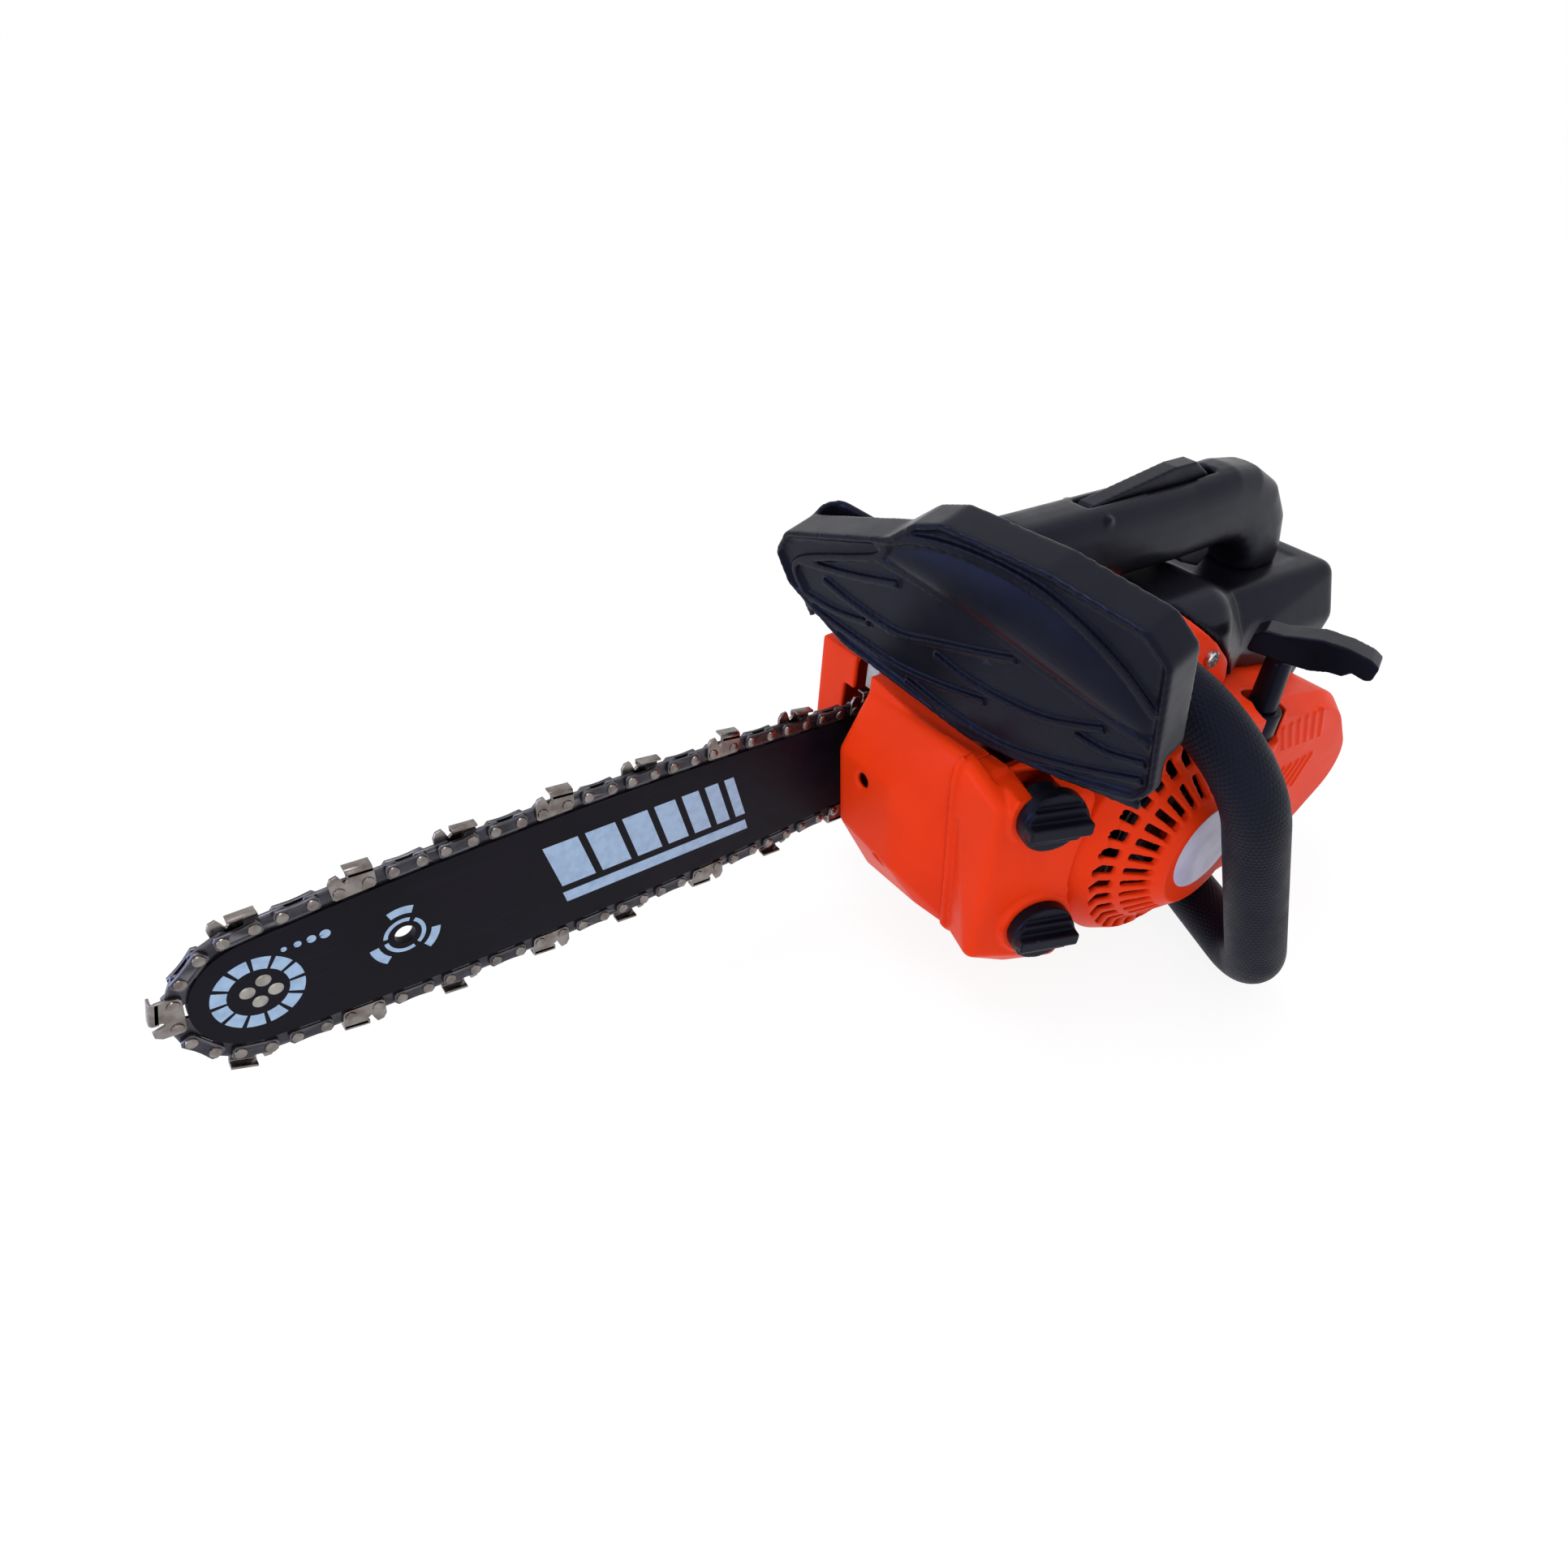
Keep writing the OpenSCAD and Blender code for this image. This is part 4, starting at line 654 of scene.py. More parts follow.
def swept_ribs(runs, width, height, normal):
    """Solid ribs along runs of points that lie in a plane with this normal."""
    to_plane = normal.to_track_quat("Z", "Y").to_matrix().to_4x4()
    flat = line_mesh([[to_plane.inverted() @ Vector(p) for p in run] for run in runs])
    finish = finishes()["black_plastic"]
    made = run_tree("rib", flat, Width=width, Height=height, Step=2 * MM, Finish=finish)
    return moved(made, to_plane)


class SAW_OT_starter_casing(bpy.types.Operator):
    """Starter casing: slotted dome over the fan, and slats on its rear lobe"""
    bl_idname = "saw.starter_casing"
    bl_label = "Starter Casing"

    def execute(self, context):
        slats = swept_ribs(fan_slats(), 1.8 * MM, 1.8 * MM, Vector((0, 1, 0)))
        shell = melted([cad_mesh("starter_housing"), slats], grain_size=0.65 * MM, rounds=3, faces=180000)
        place("starter_casing", shell, "orange_plastic", ["starter_housing"])
        return {"FINISHED"}


# The tank's front outline at the plane where its shells are welded, x and z in millimetres
WELD_LINE = [(93, 127.5), (95.6, 125), (96, 121), (95.6, 112), (91, 77), (86, 39), (84, 33), (74, 24),
             (63, 14.5), (58, 13), (30, 10)]


class SAW_OT_tank(bpy.types.Operator):
    """Fuel and oil tank: two shells and the bead where they are welded"""
    bl_idname = "saw.tank"
    bl_label = "Tank Shells"

    def execute(self, context):
        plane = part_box("tank_left")[0].y
        run = [(x * MM, plane, z * MM) for x, z in WELD_LINE]
        bead = swept_ribs([run], 4.4 * MM, 3.0 * MM, Vector((0, 1, 0)))
        for side, more in (("tank_right", []), ("tank_left", [bead])):
            shell = melted([cad_mesh(side), *more], grain_size=0.9 * MM, rounds=4, faces=140000)
            place(side + "_shell", shell, "orange_plastic", [side])
        return {"FINISHED"}


class SAW_OT_covers(bpy.types.Operator):
    """Cylinder cover, clutch cover, and the filter's box and tray"""
    bl_idname = "saw.covers"
    bl_label = "Covers"

    def execute(self, context):
        for node, name, slot, grain_size, rounds in (
                ("cylinder_cover", "cylinder_shroud", "orange_plastic", 0.9, 5),
                ("clutch_cover", "clutch_side_cover", "orange_plastic", 0.8, 5),
                ("filter_cover", "filter_box", "black_plastic", 1.0, 14),
                ("filter_base", "filter_tray", "black_plastic", 0.9, 5)):
            shell = melted([cad_mesh(node)], grain_size * MM, rounds, faces=110000)
            place(name, shell, slot, [node])
        return {"FINISHED"}


# ---------- hand guard ----------
# The guard's own axes: their origin, how far they lean back and how far they turn to the side
GUARD_PLACE = Vector((87 * MM, 10 * MM, 126 * MM))
GUARD_LEAN = math.radians(12.4)
GUARD_TURN = math.radians(7.8)
# Along those axes: the plate's front face, how deep the ribs sink into it, and the bowed panel's
# root, back and swell
PLATE_FRONT, RIB_ROOT = -2.6 * MM, 0.4 * MM
PANEL_ROOT, PANEL_BACK, PANEL_SWELL = -2.7 * MM, -4.0 * MM, 4.0 * MM
# Ribs on the guard's plate: across and up, in millimetres, from the guard's own origin
GUARD_RIBS = [
    [(-38, 70), (-11, 67), (15, 62), (40, 55), (64, 49), (84, 46)],
    [(-38, 76), (-19, 85), (4, 89), (30, 88), (50, 82), (70, 71), (84, 59)],
    [(-82, 50), (-54, 55), (-27, 62)],
    [(-68, 46), (-50, 41), (-28, 38), (-8, 43), (13, 49), (29, 54)],
    [(-80, 34), (-62, 33), (-43, 36)],
    [(-74, 28), (-52, 24), (-28, 21), (-5, 23), (16, 27)],
    [(-9, 37), (6, 33), (23, 32), (44, 34), (67, 43)],
    [(-24, 17), (1, 11), (26, 10), (50, 16), (67, 22), (84, 29)],
    [(-1, 8), (12, 8.5)],
    [(56, 34), (69, 33), (84, 37)],
    [(50, 11), (66, 14), (85, 17)],
    [(-32, 80), (-38, 70), (-82, 50), (-80, 34), (-76, 25)],
]


def guard_frame():
    """Matrix from the guard's own axes, +X out of its front, to the saw's."""
    return (Matrix.Translation(GUARD_PLACE) @ Matrix.Rotation(GUARD_TURN, 4, "Z")
            @ Matrix.Rotation(GUARD_LEAN, 4, "Y"))


class SAW_OT_hand_guard(bpy.types.Operator):
    """Hand guard: plate with its rim, bowed panel and ribs, moulded in one"""
    bl_idname = "saw.hand_guard"
    bl_label = "Hand Guard"

    def execute(self, context):
        sizes = context.scene.saw_sizes
        middle = PLATE_FRONT + sizes.rib_height / 2 - RIB_ROOT
        to_plate = guard_frame() @ Matrix(((0, 0, 1, middle), (1, 0, 0, 0), (0, 1, 0, 0), (0, 0, 0, 1)))
        runs = [[(y * MM, z * MM, 0) for y, z in run] for run in GUARD_RIBS]
        plate = melted([cad_mesh("hand_guard")], grain_size=0.9 * MM, rounds=9, faces=90000)
        solids = [plate, self.bowed_panel()]
        for some, width in ((runs[:2], sizes.border_width), (runs[2:], sizes.rib_width)):
            solids.append(moved(run_tree("rib", line_mesh(some), Width=width, Height=sizes.rib_height,
                                         Step=3 * MM, Finish=finishes()["black_plastic"]), to_plate))
        shell = melted(solids, grain_size=0.6 * MM, rounds=2, faces=170000)
        place("guard_moulding", shell, "black_plastic", ["hand_guard"], "guard")
        return {"FINISHED"}

    def bowed_panel(self):
        """The lens-shaped panel between the two long ribs, which bows out of the plate."""
        low, high = GUARD_RIBS[:2]
        columns, rows = 24, 10
        shape = bmesh.new()
        front, back = [], []
        for i in range(columns + 1):
            bottom, top = along(low, i / columns), along(high, i / columns)
            for j in range(rows + 1):
                spot = bottom.lerp(top, j / rows)
                # fullest near the lower rib, so that its long upper side faces up
                swell = math.sin(math.pi * (j / rows) ** 0.7) * math.sin(math.pi * i / columns) ** 0.5
                across, up = spot.x * MM, spot.y * MM
                front.append(shape.verts.new((PANEL_ROOT + PANEL_SWELL * swell, across, up)))
                back.append(shape.verts.new((PANEL_BACK, across, up)))
        closed_sheet(shape, front, back, columns, rows)
        return moved(baked(shape, "bowed_panel"), guard_frame())


def along(run, share):
    """Point at a share of a run's number of stretches."""
    where = share * (len(run) - 1)
    first = min(int(where), len(run) - 2)
    return Vector(run[first]).lerp(Vector(run[first + 1]), where - first)


def closed_sheet(shape, front, back, columns, rows):
    """Faces of a thick sheet from two grids of points, column by column."""
    def at(grid, i, j):
        return grid[i * (rows + 1) + j]
    for i in range(columns):
        for j in range(rows):
            for grid in (front, back):
                shape.faces.new((at(grid, i, j), at(grid, i + 1, j), at(grid, i + 1, j + 1),
                                 at(grid, i, j + 1)))
    for i in range(columns):
        for j in (0, rows):
            shape.faces.new((at(front, i, j), at(front, i + 1, j), at(back, i + 1, j), at(back, i, j)))
    for j in range(rows):
        for i in (0, columns):
            shape.faces.new((at(front, i, j), at(front, i, j + 1), at(back, i, j + 1), at(back, i, j)))
    bmesh.ops.remove_doubles(shape, verts=shape.verts, dist=1e-6)


# ---------- handles ----------
class SAW_OT_handles(bpy.types.Operator):
    """Top handle, its levers and stop switch, and the front handle's tube"""
    bl_idname = "saw.handles"
    bl_label = "Handles"

    def execute(self, context):
        for node, name, body, grain_size, faces in (
                ("top_handle", "top_grip", ROOT, 1.0, 120000),
                ("throttle_trigger", "trigger_blade", "trigger", 0.6, 30000),
                ("lockout_lever", "lockout_blade", "lockout", 0.6, 30000)):
            shell = melted([cad_mesh(node)], grain_size * MM, 4, faces)
            place(name, shell, "black_plastic", [node], body)
        button = eased(cad_mesh("stop_switch"), 0.8 * MM, 3)
        place("stop_button_top", button, "red_plastic", ["stop_switch"], "stop_button")
        place("front_tube", eased(cad_mesh("front_handle"), 0.3 * MM), "black_plastic", ["front_handle"])
        return {"FINISHED"}


# The front handle's run: top run, big bend, side run, small bend, foot run
TOP_RUN = Vector((27, 46, 162)) * MM
LEAN, FLARE, FOOT_TURN = (math.radians(a) for a in (22, 5, 22))
BIG_BEND, SMALL_BEND, SIDE_RUN = 60 * MM, 22 * MM, 85.27 * MM
SLEEVE_RADIUS, TUBE_RADIUS = 13 * MM, 9 * MM


def bend_points(start, along_in, along_out, radius, steps):
    """Points on a round bend from start, and its end."""
    inward = (along_out - along_in * along_in.dot(along_out)).normalized()
    sweep = along_in.angle(along_out)
    return [start + inward * radius * (1 - math.cos(a)) + along_in * radius * math.sin(a)
            for a in (sweep * i / steps for i in range(steps + 1))]


def handle_route(stop_y):
    """Middle line of the front handle, from the yoke to where the foot run reaches stop_y."""
    top = Vector((0, 1, 0))
    side = Vector((-math.cos(FLARE) * math.sin(LEAN), math.sin(FLARE),
                   -math.cos(FLARE) * math.cos(LEAN)))
    foot = Vector((-math.sin(FOOT_TURN), -math.cos(FOOT_TURN), 0))
    route = [TOP_RUN + Vector((0, 1 * MM, 0))]
    route += bend_points(TOP_RUN, top, side, BIG_BEND, 24)[1:]
    corner = route[-1] + side * SIDE_RUN
    route += [route[-1].lerp(corner, i / 12) for i in range(1, 12)]
    route += bend_points(corner, side, foot, SMALL_BEND, 14)
    last = route[-1] + foot * ((route[-1].y - stop_y) / math.cos(FOOT_TURN))
    route += [route[-1].lerp(last, i / 4) for i in range(1, 5)]
    return route


class SAW_OT_handle_sleeve(bpy.types.Operator):
    """Rubber sleeve of the front handle, with a map that follows the tube"""
    bl_idname = "saw.handle_sleeve"
    bl_label = "Handle Sleeve"

    def execute(self, context):
        foot_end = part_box("handle_sleeve")[0].y
        route = handle_route(foot_end + 1.5 * MM)
        mesh = hose_mesh(route, SLEEVE_RADIUS, TUBE_RADIUS + 0.1 * MM, 48,
                         context.scene.saw_sizes.dimple)
        place("grip_sleeve", mesh, "rubber", ["handle_sleeve"], finish="sleeve")
        return {"FINISHED"}


def hose_mesh(route, radius, bore, steps, stud):
    """A hose with rounded ends along a route; its map counts studs along and round it."""
    lip = 1.5 * MM
    stations = [(0, bore), (0, radius - lip), (0, radius - 0.4 * lip), (0, radius)]
    stations += [(i, radius) for i in range(1, len(route) - 1)]
    end = len(route) - 1
    stations += [(end, radius), (end, radius - 0.4 * lip), (end, radius - lip), (end, bore)]
    stations += [(i, bore) for i in range(end - 1, 0, -1)]
    shape = bmesh.new()
    uv = shape.loops.layers.uv.new("sleeve")
    frames = travelling_frames(route)
    lengths = [0]
    for a, b in zip(route, route[1:]):
        lengths.append(lengths[-1] + (b - a).length)
    round_studs = round(math.tau * radius / stud)
    rings = []
    for i, r in stations:
        centre, side, up, ahead = frames[i]
        inset = max(0, r - radius + lip) / lip
        shift = lip * math.sqrt(1 - inset * inset) * ((i == end) - (i == 0))
        angles = [math.tau * k / steps for k in range(steps)]
        ring = [shape.verts.new(centre + ahead * shift + side * r * math.cos(a) + up * r * math.sin(a))
                for a in angles]
        rings.append((ring, (lengths[i] + shift) / stud))
    for (low, v0), (high, v1) in zip(rings, rings[1:] + rings[:1]):
        for k in range(steps):
            j = (k + 1) % steps
            face = shape.faces.new((low[k], low[j], high[j], high[k]))
            for loop, u, v in zip(face.loops, (k, k + 1, k + 1, k), (v0, v0, v1, v1)):
                loop[uv].uv = (u / steps * round_studs, v)
    mesh = baked(shape, "hose")
    mesh.shade_smooth()
    mesh.set_sharp_from_angle(angle=math.radians(60))
    return mesh


def travelling_frames(route):
    """At each point of a route: the point, two crosswise directions and the way ahead."""
    frames = []
    side = Vector((0, 0, 1))
    for i, point in enumerate(route):
        ahead = (route[min(i + 1, len(route) - 1)] - route[max(i - 1, 0)]).normalized()
        side = (side - ahead * side.dot(ahead)).normalized()
        frames.append((point, side, ahead.cross(side), ahead))
    return frames


# ---------- small mouldings ----------
class SAW_OT_filler_caps(bpy.types.Operator):
    """Both filler caps: a disc with a raised finger bar"""
    bl_idname = "saw.filler_caps"
    bl_label = "Filler Caps"

    def execute(self, context):
        for node, body in (("fuel_cap", "fuel_filler"), ("oil_cap", "oil_filler")):
            knob = melted([cad_mesh(node)], grain_size=0.45 * MM, rounds=3, faces=40000)
            place(node + "_knob", knob, "black_plastic", [node], body)
        return {"FINISHED"}


class SAW_OT_pull_starter(bpy.types.Operator):
    """Starter grip with its collar, the rope, the bush that it leaves by and the choke's knob"""
    bl_idname = "saw.pull_starter"
    bl_label = "Pull Starter"

    def execute(self, context):
        grip = melted([cad_mesh("starter_grip")], grain_size=0.55 * MM, rounds=4, faces=60000)
        place("pull_grip_moulding", grip, "black_plastic", ["starter_grip"], "pull_grip")
        place("rope_bush", eased(cad_mesh("rope_guide"), 0.8 * MM, 3), "black_plastic", ["rope_guide"])
        # the rope is baked where it lies and rides on no body; on the saw it is the part that stretches out
        # of the casing as the grip is pulled
        rope = place("rope_run", cad_mesh("starter_rope"), "rope_fibre", ["starter_rope"], None)
        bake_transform(rope)
        choke = eased(cad_mesh("choke_lever"), 0.8 * MM, 3)
        place("choke_knob", choke, "black_plastic", ["choke_lever"], "choke")
        return {"FINISHED"}


LABEL_HEIGHT = 84 * MM  # middle of the round label on the starter casing


class SAW_OT_badge(bpy.types.Operator):
    """Bare round label on the starter casing"""
    bl_idname = "saw.badge"
    bl_label = "Label"

    def execute(self, context):
        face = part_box("starter_housing")[1].y
        radius = context.scene.saw_sizes.badge
        disc = turned([(0, 0), (radius, 0), (radius, 0.15 * MM), (radius - 0.2 * MM, 0.2 * MM),
                       (0, 0.2 * MM)], 72)
        sunk = Matrix.Translation((0, face - 0.05 * MM, LABEL_HEIGHT))
        stand = sunk @ Matrix.Rotation(-math.pi / 2, 4, "X")
        place("label", moved(disc, stand), "orange_plastic", finish="badge")
        return {"FINISHED"}


# ---------- metal parts ----------
COVER_SCREW = Vector((-30, 44.8, 145.8)) * MM  # head of the one screw that shows in the cylinder cover


class SAW_OT_metalwork(bpy.types.Operator):
    """Muffler, bar nuts and studs, turned and cast parts and the plug cap, with their edges broken"""
    bl_idname = "saw.metalwork"
    bl_label = "Metalwork"

    def execute(self, context):
        for node, slot, width in (
                ("muffler", "muffler_steel", 0.8), ("bar_nuts", "steel", 0.5), ("bar_studs", "steel", 0.5),
                ("crankcase_left", "cast_alloy", 0.6), ("crankcase_right", "cast_alloy", 0.6),
                ("cylinder", "cast_alloy", 0.25), ("clutch_drum", "steel", 0.3),
                ("nose_sprocket", "steel", 0.15), ("plug_cap", "rubber", 0.8),
                ("flywheel", "cast_alloy", 0.4)):
            place(node + "_eased", eased(cad_mesh(node), width * MM), slot, [node], BODY_OF[node])
        return {"FINISHED"}


class SAW_OT_screws(bpy.types.Operator):
    """Zinc-plated socket screws of the starter casing and the cylinder cover"""
    bl_idname = "saw.screws"
    bl_label = "Screws"

    def execute(self, context):
        head = turned([(0, -0.8 * MM), (4 * MM, -0.8 * MM), (4 * MM, 1.9 * MM), (3.4 * MM, 2.5 * MM),
                       (2.3 * MM, 2.5 * MM), (2.0 * MM, 0.8 * MM), (0, 0.6 * MM)], 24)
        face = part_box("housing_screws")[0].y
        spots = [Vector((c.x, face, c.z)) for c in islands("housing_screws")]
        spots.append(COVER_SCREW)
        screws = set_out(head, spots, [(-math.pi / 2, 0, 0)] * len(spots), "zinc")
        place("casing_screws", screws, "steel", ["housing_screws"], finish="zinc")
        return {"FINISHED"}


def set_out(piece_mesh, points, turns, finish, scale=1.0):
    """Copies of one piece on points, each with its own turn, as one plain mesh."""
    piece = linked("copy", piece_mesh)
    made = run_tree("set out", point_mesh(points, turns), Piece=piece, Scale=scale,
                    Finish=finishes()[finish])
    bpy.data.objects.remove(piece)
    made.shade_smooth()
    made.set_sharp_from_angle(angle=math.radians(38))
    return made


# ---------- bar ----------
BAR_FACE = 2 * MM      # from the bar's middle plane to its painted face
MARK_ROOT = -0.02      # how deep the printed marks sink into the paint, in millimetres
NOSE_RIVETS = 4.6 * MM  # radius of the circle of four rivets in the nose


def bar_lines():
    """Middle height of the bar, middle plane and the x of its nose centre."""
    low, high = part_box("guide_bar")
    sprocket_low, sprocket_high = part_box("nose_sprocket")
    return (low.z + high.z) / 2, (low.y + high.y) / 2, (sprocket_low.x + sprocket_high.x) / 2


class SAW_OT_guide_bar(bpy.types.Operator):
    """Enamelled guide bar, its nose rivets and the plain printed marks on both faces"""
    bl_idname = "saw.guide_bar"
    bl_label = "Guide Bar"

    def execute(self, context):
        place("enamelled_bar", eased(cad_mesh("guide_bar"), 0.3 * MM), "bar_paint", ["guide_bar"])
        height, plane, nose = bar_lines()
        rivet = turned([(0, -1.0 * MM), (2.6 * MM, -1.0 * MM), (2.6 * MM, 0.1 * MM),
                        (2.1 * MM, 0.45 * MM), (1.1 * MM, 0.62 * MM), (0, 0.66 * MM)], 20)
        spots, turns = [], []
        for side in (1, -1):
            for k in range(4):
                a = math.radians(18 + 90 * k)
                spots.append(Vector((nose + NOSE_RIVETS * math.cos(a), plane + side * BAR_FACE,
                                     height + NOSE_RIVETS * math.sin(a))))
                turns.append((-side * math.pi / 2, 0, 0))
        place("nose_rivets", set_out(rivet, spots, turns, "steel"), "steel")
        ink = context.scene.saw_sizes.ink
        for side, name in ((1, "left"), (-1, "right")):
            marks = moved(self.marks(nose, ink), self.on_face(side, plane, height))
            if side > 0:
                marks.flip_normals()
            place(f"printed_marks_{name}", marks, "bar_paint", finish="ink")
        return {"FINISHED"}

    def on_face(self, side, plane, height):
        """Matrix that lays marks drawn in x and y on one face of the bar."""
        return Matrix(((1, 0, 0, 0), (0, 0, side, plane + side * BAR_FACE), (0, 1, 0, height),
                       (0, 0, 0, 1)))

    def marks(self, nose, ink):
        """Rings round the nose and the hanging hole, dots and slanted bars, drawn in millimetres."""
        nose, high = nose / MM, ink / MM

        def arc(x, y, radius, width, start, end, steps=24):
            outline = [(x + a, y + b) for a, b in ring_outline(radius, width, start, end, steps)]
            return prism(outline, MARK_ROOT, high)

        made = [arc(nose + 1, 0, 10.2, 5.2, 30 * k + 3, 30 * k + 27, 6) for k in range(12)]
        hole = nose - 50
        for k in range(3):
            made.append(arc(hole, 0, 6.3, 1.6, 120 * k + 8, 120 * k + 112))
            made.append(arc(hole, 0, 10, 3.4, 120 * k + 68, 120 * k + 112, 12))
        for k in range(4):
            made.append(arc(nose - 24 + 4.6 * k, 14.5, 0, 1.9 - 0.3 * k, 0, 345, 16))
        # slanted bars of falling width over a long line
        x = nose - 106
        for k in range(7):
            width = 15 - 1.7 * k
            made.append(prism([(x, 15.5), (x - width, 15.5), (x - width - 7, -7), (x - 7, -7)],
                              MARK_ROOT, high))
            x -= width + 3.2
        made.append(prism([(nose - 113, -10.5), (x - 3.9, -10.5), (x - 5.5, -16), (nose - 114.6, -16)],
                          MARK_ROOT, high))
        return moved(joined(*made), Matrix.Scale(MM, 4))


# ---------- chain ----------
CUTTER_INNER = 0.75 * MM  # from the chain's middle plane to a cutter's inner face


def link_ends(centre, rivets):
    """The two rivets that a link or cutter hangs on: the nearest two to its middle."""
    return sorted(rivets, key=lambda r: (r - centre).length)[:2]


def cutter_mesh(span):
    """One cutter on rivets a span apart: side plate, depth gauge and a top plate that rolls over."""
    half = span / 2 / MM
    plate = prism([(-half - 2.6, -1.8), (-half - 1.6, -2.8), (half + 1.6, -2.8), (half + 2.6, -1.8),
                   (half + 2.8, 4.6), (half + 1.5, 6.9), (half - 0.9, 7.3), (half - 1.9, 5.2),
                   (half - 2.6, 3.4), (2.2, 2.9), (0.9, 3.9), (0.8, 6.4), (-half - 2.8, 5.4),
                   (-half - 3.0, 3.2)], 0, 1.4)
    # top plate: a bent strip from the plate's outer face over the middle of the chain, lower behind
    shape = bmesh.new()
    rows = []
    for x, base in ((1.4, 6.4), (1.4 - half - 4.2, 5.4)):
        skins = []
        for bend in (1.6, 0.6):
            angles = [math.radians(90 * i / 6) for i in range(7)]
            skins.append([(x, base - 1.5, bend - 0.2)]
                         + [(x, base + bend * math.sin(a), -0.3 + (bend + 0.1) * math.cos(a))
                            for a in angles]
                         + [(x, base + bend, -3.2)])
        rows.append([shape.verts.new(p) for p in skins[0] + skins[1][::-1]])
    for i in range(len(rows[0])):
        shape.faces.new((rows[0][i - 1], rows[0][i], rows[1][i], rows[1][i - 1]))
    for row in rows:
        shape.faces.new(row)
    return moved(joined(plate, baked(shape, "top_plate")), Matrix.Scale(MM, 4))


class SAW_OT_chain(bpy.types.Operator):
    """Saw chain: blued drive links and straps, chromed cutters and domed rivets"""
    bl_idname = "saw.chain"
    bl_label = "Saw Chain"

    def execute(self, context):
        for node, name in (("drive_links", "blued_drive_links"), ("tie_straps", "blued_tie_straps")):
            place(name, eased(cad_mesh(node), 0.25 * MM, 1), "chain_steel", [node])
        rivets = islands("chain_rivets")
        head_low, head_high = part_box("chain_rivets")
        reach = (head_high.y - head_low.y) / 2
        size = context.scene.saw_sizes.rivet
        spots = rivets * 2
        turns = [(-math.pi / 2, 0, 0)] * len(rivets) + [(math.pi / 2, 0, 0)] * len(rivets)
        half = turned([(0, 0), (size * 0.7, 0), (size * 0.7, reach - 0.95 * MM), (size, reach - 0.9 * MM),
                       (0.93 * size, reach - 0.45 * MM), (0.62 * size, reach - 0.12 * MM), (0, reach)], 14)
        heads = set_out(half, spots, turns, "cutter_steel")
        place("domed_rivets", heads, "cutter_steel", ["chain_rivets"])
        for node, side in (("left_cutters", 1), ("right_cutters", -1)):
            self.cutters(node, side, rivets, bar_lines()[1])
        return {"FINISHED"}

    def cutters(self, node, side, rivets, plane):
        """Sets one hand of cutters out along the loop."""
        pieces = []
        for centre in islands(node):
            first, second = link_ends(centre, rivets)
            middle = (first + second) / 2
            ahead = second - first
            outward = centre - middle
            # the depth gauge leads, so the link's own x runs clockwise as seen from the right
            if ahead.dot(Vector((outward.z, 0, -outward.x))) < 0:
                ahead = -ahead
            across = Vector((ahead.x, 0, ahead.z)).normalized()
            up = Vector((-across.z, 0, across.x))
            if up.dot(outward) < 0:
                up = -up
            out = Vector((0, side, 0))
            body = cutter_mesh(ahead.length)
            stand = Matrix((
                (across.x, up.x, out.x, middle.x), (across.y, up.y, out.y, plane + side * CUTTER_INNER),
                (across.z, up.z, out.z, middle.z), (0, 0, 0, 1)))
            if stand.to_3x3().determinant() < 0:
                body.flip_normals()
            pieces.append(moved(body, stand))
        whole = eased(joined(*pieces), 0.2 * MM, 2)
        place(node + "_chromed", whole, "cutter_steel", [node])


# ---------- what keeps its solid ----------
class SAW_OT_inner_works(bpy.types.Operator):
    """Gives each CAD solid that no piece stands for the finish of its slot"""
    bl_idname = "saw.inner_works"
    bl_label = "Inner Works"

    def execute(self, context):
        for node, piece in frame["nodes"].items():
            if piece.hide_render:
                continue
            piece.data.materials.clear()
            piece.data.materials.append(finishes()[SLOT_OF[node]])
        return {"FINISHED"}


# ---------- studio ----------
# The camera's place, the way it looks, its roll and its lens in millimetres
CAMERA_PLACE = (0.3671, 0.2536, 0.3699)
CAMERA_AHEAD = (-0.503, -0.623, -0.600)
CAMERA_ROLL = math.radians(4.4)
CAMERA_LENS = 24.84


def lamp(name, place_at, aim, size, power, shade):
    """Soft square lamp at a place, aimed at a point."""
    light = bpy.data.lights.new(name, "AREA")
    light.shape = "SQUARE"
    light.size = size
    light.energy = power
    light.color = linear(shade)
    source = linked(name, light)
    source.location = place_at
    source.rotation_euler = (Vector(aim) - Vector(place_at)).to_track_quat("-Z", "Y").to_euler()


def seen_ray(tree):
    """One for rays of the camera, of mirrors and of clear pieces, else zero."""
    ray = put(tree, "ShaderNodeLightPath")
    mirrored = maths(tree, "MAXIMUM", ray.outputs["Is Glossy Ray"], ray.outputs["Is Transmission Ray"])
    return maths(tree, "MAXIMUM", ray.outputs["Is Camera Ray"], mirrored)


def pale_world():
    """Even pale surround: white where it is seen or mirrored, dimmer as a light."""
    world = bpy.data.worlds.new("pale_surround")
    world.use_nodes = True
    tree = world.node_tree
    tree.nodes.clear()
    seen = seen_ray(tree)
    lighting = put(tree, "ShaderNodeBackground", {"Color": (*linear("#F6F7FA"), 1), "Strength": 0.8})
    shown = put(tree, "ShaderNodeBackground", {"Color": (1, 1, 1, 1), "Strength": 1.0})
    both = put(tree, "ShaderNodeMixShader", {0: seen, 1: lighting.outputs[0], 2: shown.outputs[0]})
    put(tree, "ShaderNodeOutputWorld", {"Surface": both.outputs[0]})
    bpy.context.scene.world = world


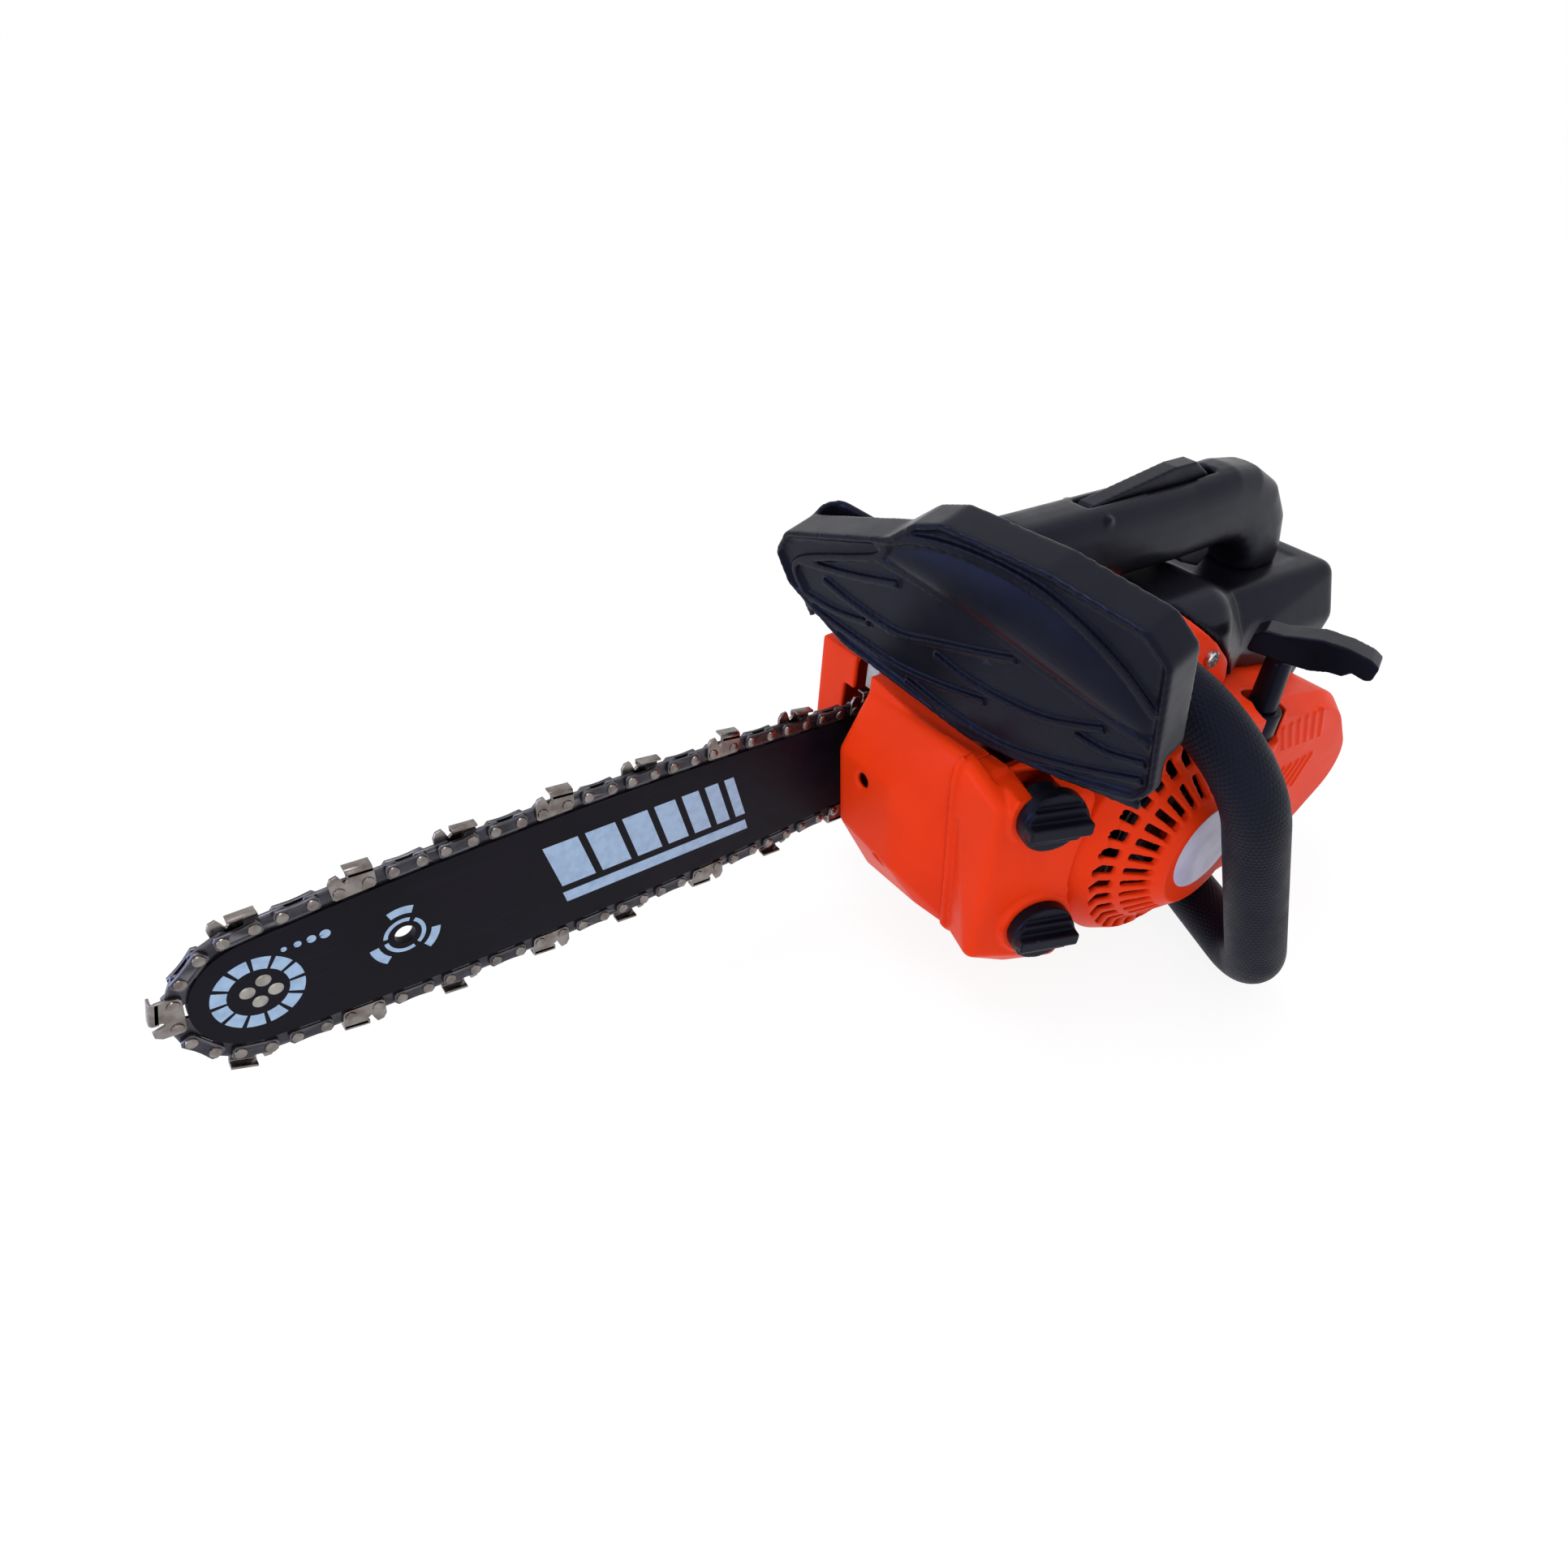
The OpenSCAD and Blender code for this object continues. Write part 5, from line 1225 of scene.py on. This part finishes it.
def pale_floor():
    """Matt white floor: shown white, with the saw's shadow kept faint."""
    material, tree, shader, spot = surface("white_floor_paint", Roughness=0.9)
    mottle(tree, shader, spot, linear("#F4F4F4"), linear("#F0F0F0"), 200)
    white = put(tree, "ShaderNodeEmission", {"Color": (1, 1, 1, 1), "Strength": 1.05})
    whole = put(tree, "ShaderNodeMixShader", {0: 0.85, 1: shader.outputs[0], 2: white.outputs[0]})
    seen = put(tree, "ShaderNodeMixShader", {
        0: seen_ray(tree), 1: shader.outputs[0], 2: whole.outputs[0]})
    tree.links.new(seen.outputs[0], tree.nodes["Material Output"].inputs["Surface"])
    return material


class SAW_OT_studio(bpy.types.Operator):
    """Pale floor, soft lamps and the camera"""
    bl_idname = "saw.studio"
    bl_label = "Studio"

    def execute(self, context):
        scene = context.scene
        scene.view_settings.view_transform = "Standard"
        pale_world()
        floor_mesh = prism([(-6, -6), (6, -6), (6, 6), (-6, 6)], -0.02, 0)
        floor_mesh.materials.append(pale_floor())
        linked("floor", floor_mesh)
        middle = (0.08, 0, 0.1)
        lamp("sky", (0.5, -0.45, 2.2), middle, 1.0, 20, "#F6F8FF")
        lamp("glint", (0.84, -0.22, 0.13), (0.09, 0.02, 0.2), 0.5, 4.2, "#B4C6FF")
        lamp("fill", (0.9, 2.0, 0.9), middle, 1.6, 7, "#FFFBF6")
        camera = bpy.data.cameras.new("camera")
        camera.lens = CAMERA_LENS
        camera.sensor_width = 36
        camera.clip_start = 0.01
        eye = linked("camera", camera)
        look = Vector(CAMERA_AHEAD).normalized()
        level = look.cross(Vector((0, 0, 1))).normalized()
        side = Matrix.Rotation(-CAMERA_ROLL, 3, look) @ level
        up = side.cross(look)
        eye.matrix_world = Matrix.Translation(CAMERA_PLACE) @ Matrix((side, up, -look)).transposed().to_4x4()
        scene.camera = eye
        return {"FINISHED"}


class SAW_PT_panel(bpy.types.Panel):
    """The saw's operators and sizes in the sidebar"""
    bl_idname = "SAW_PT_panel"
    bl_label = "Top-Handle Chainsaw"
    bl_space_type = "VIEW_3D"
    bl_region_type = "UI"
    bl_category = "Chainsaw"

    def draw(self, context):
        for operator in OPERATORS:
            self.layout.operator(operator.bl_idname)
        for group in (context.scene.saw_sizes, context.scene.saw_colours):
            for name in group.__annotations__:
                self.layout.prop(group, name)


OPERATORS = (
    SAW_OT_studio, SAW_OT_starter_casing, SAW_OT_tank, SAW_OT_covers, SAW_OT_hand_guard,
    SAW_OT_handles, SAW_OT_handle_sleeve, SAW_OT_filler_caps, SAW_OT_pull_starter, SAW_OT_badge,
    SAW_OT_metalwork, SAW_OT_screws, SAW_OT_guide_bar, SAW_OT_chain, SAW_OT_inner_works)
CLASSES = (SawColours, SawSizes, *OPERATORS, SAW_PT_panel)


def register():
    for cls in CLASSES:
        bpy.utils.register_class(cls)
    bpy.types.Scene.saw_colours = bpy.props.PointerProperty(type=SawColours)
    bpy.types.Scene.saw_sizes = bpy.props.PointerProperty(type=SawSizes)


def unregister():
    del bpy.types.Scene.saw_sizes
    del bpy.types.Scene.saw_colours
    for cls in reversed(CLASSES):
        bpy.utils.unregister_class(cls)


def main():
    register()
    for operator in OPERATORS:
        group, name = operator.bl_idname.split(".")
        getattr(getattr(bpy.ops, group), name)()


if __name__ == "__main__":
    main()
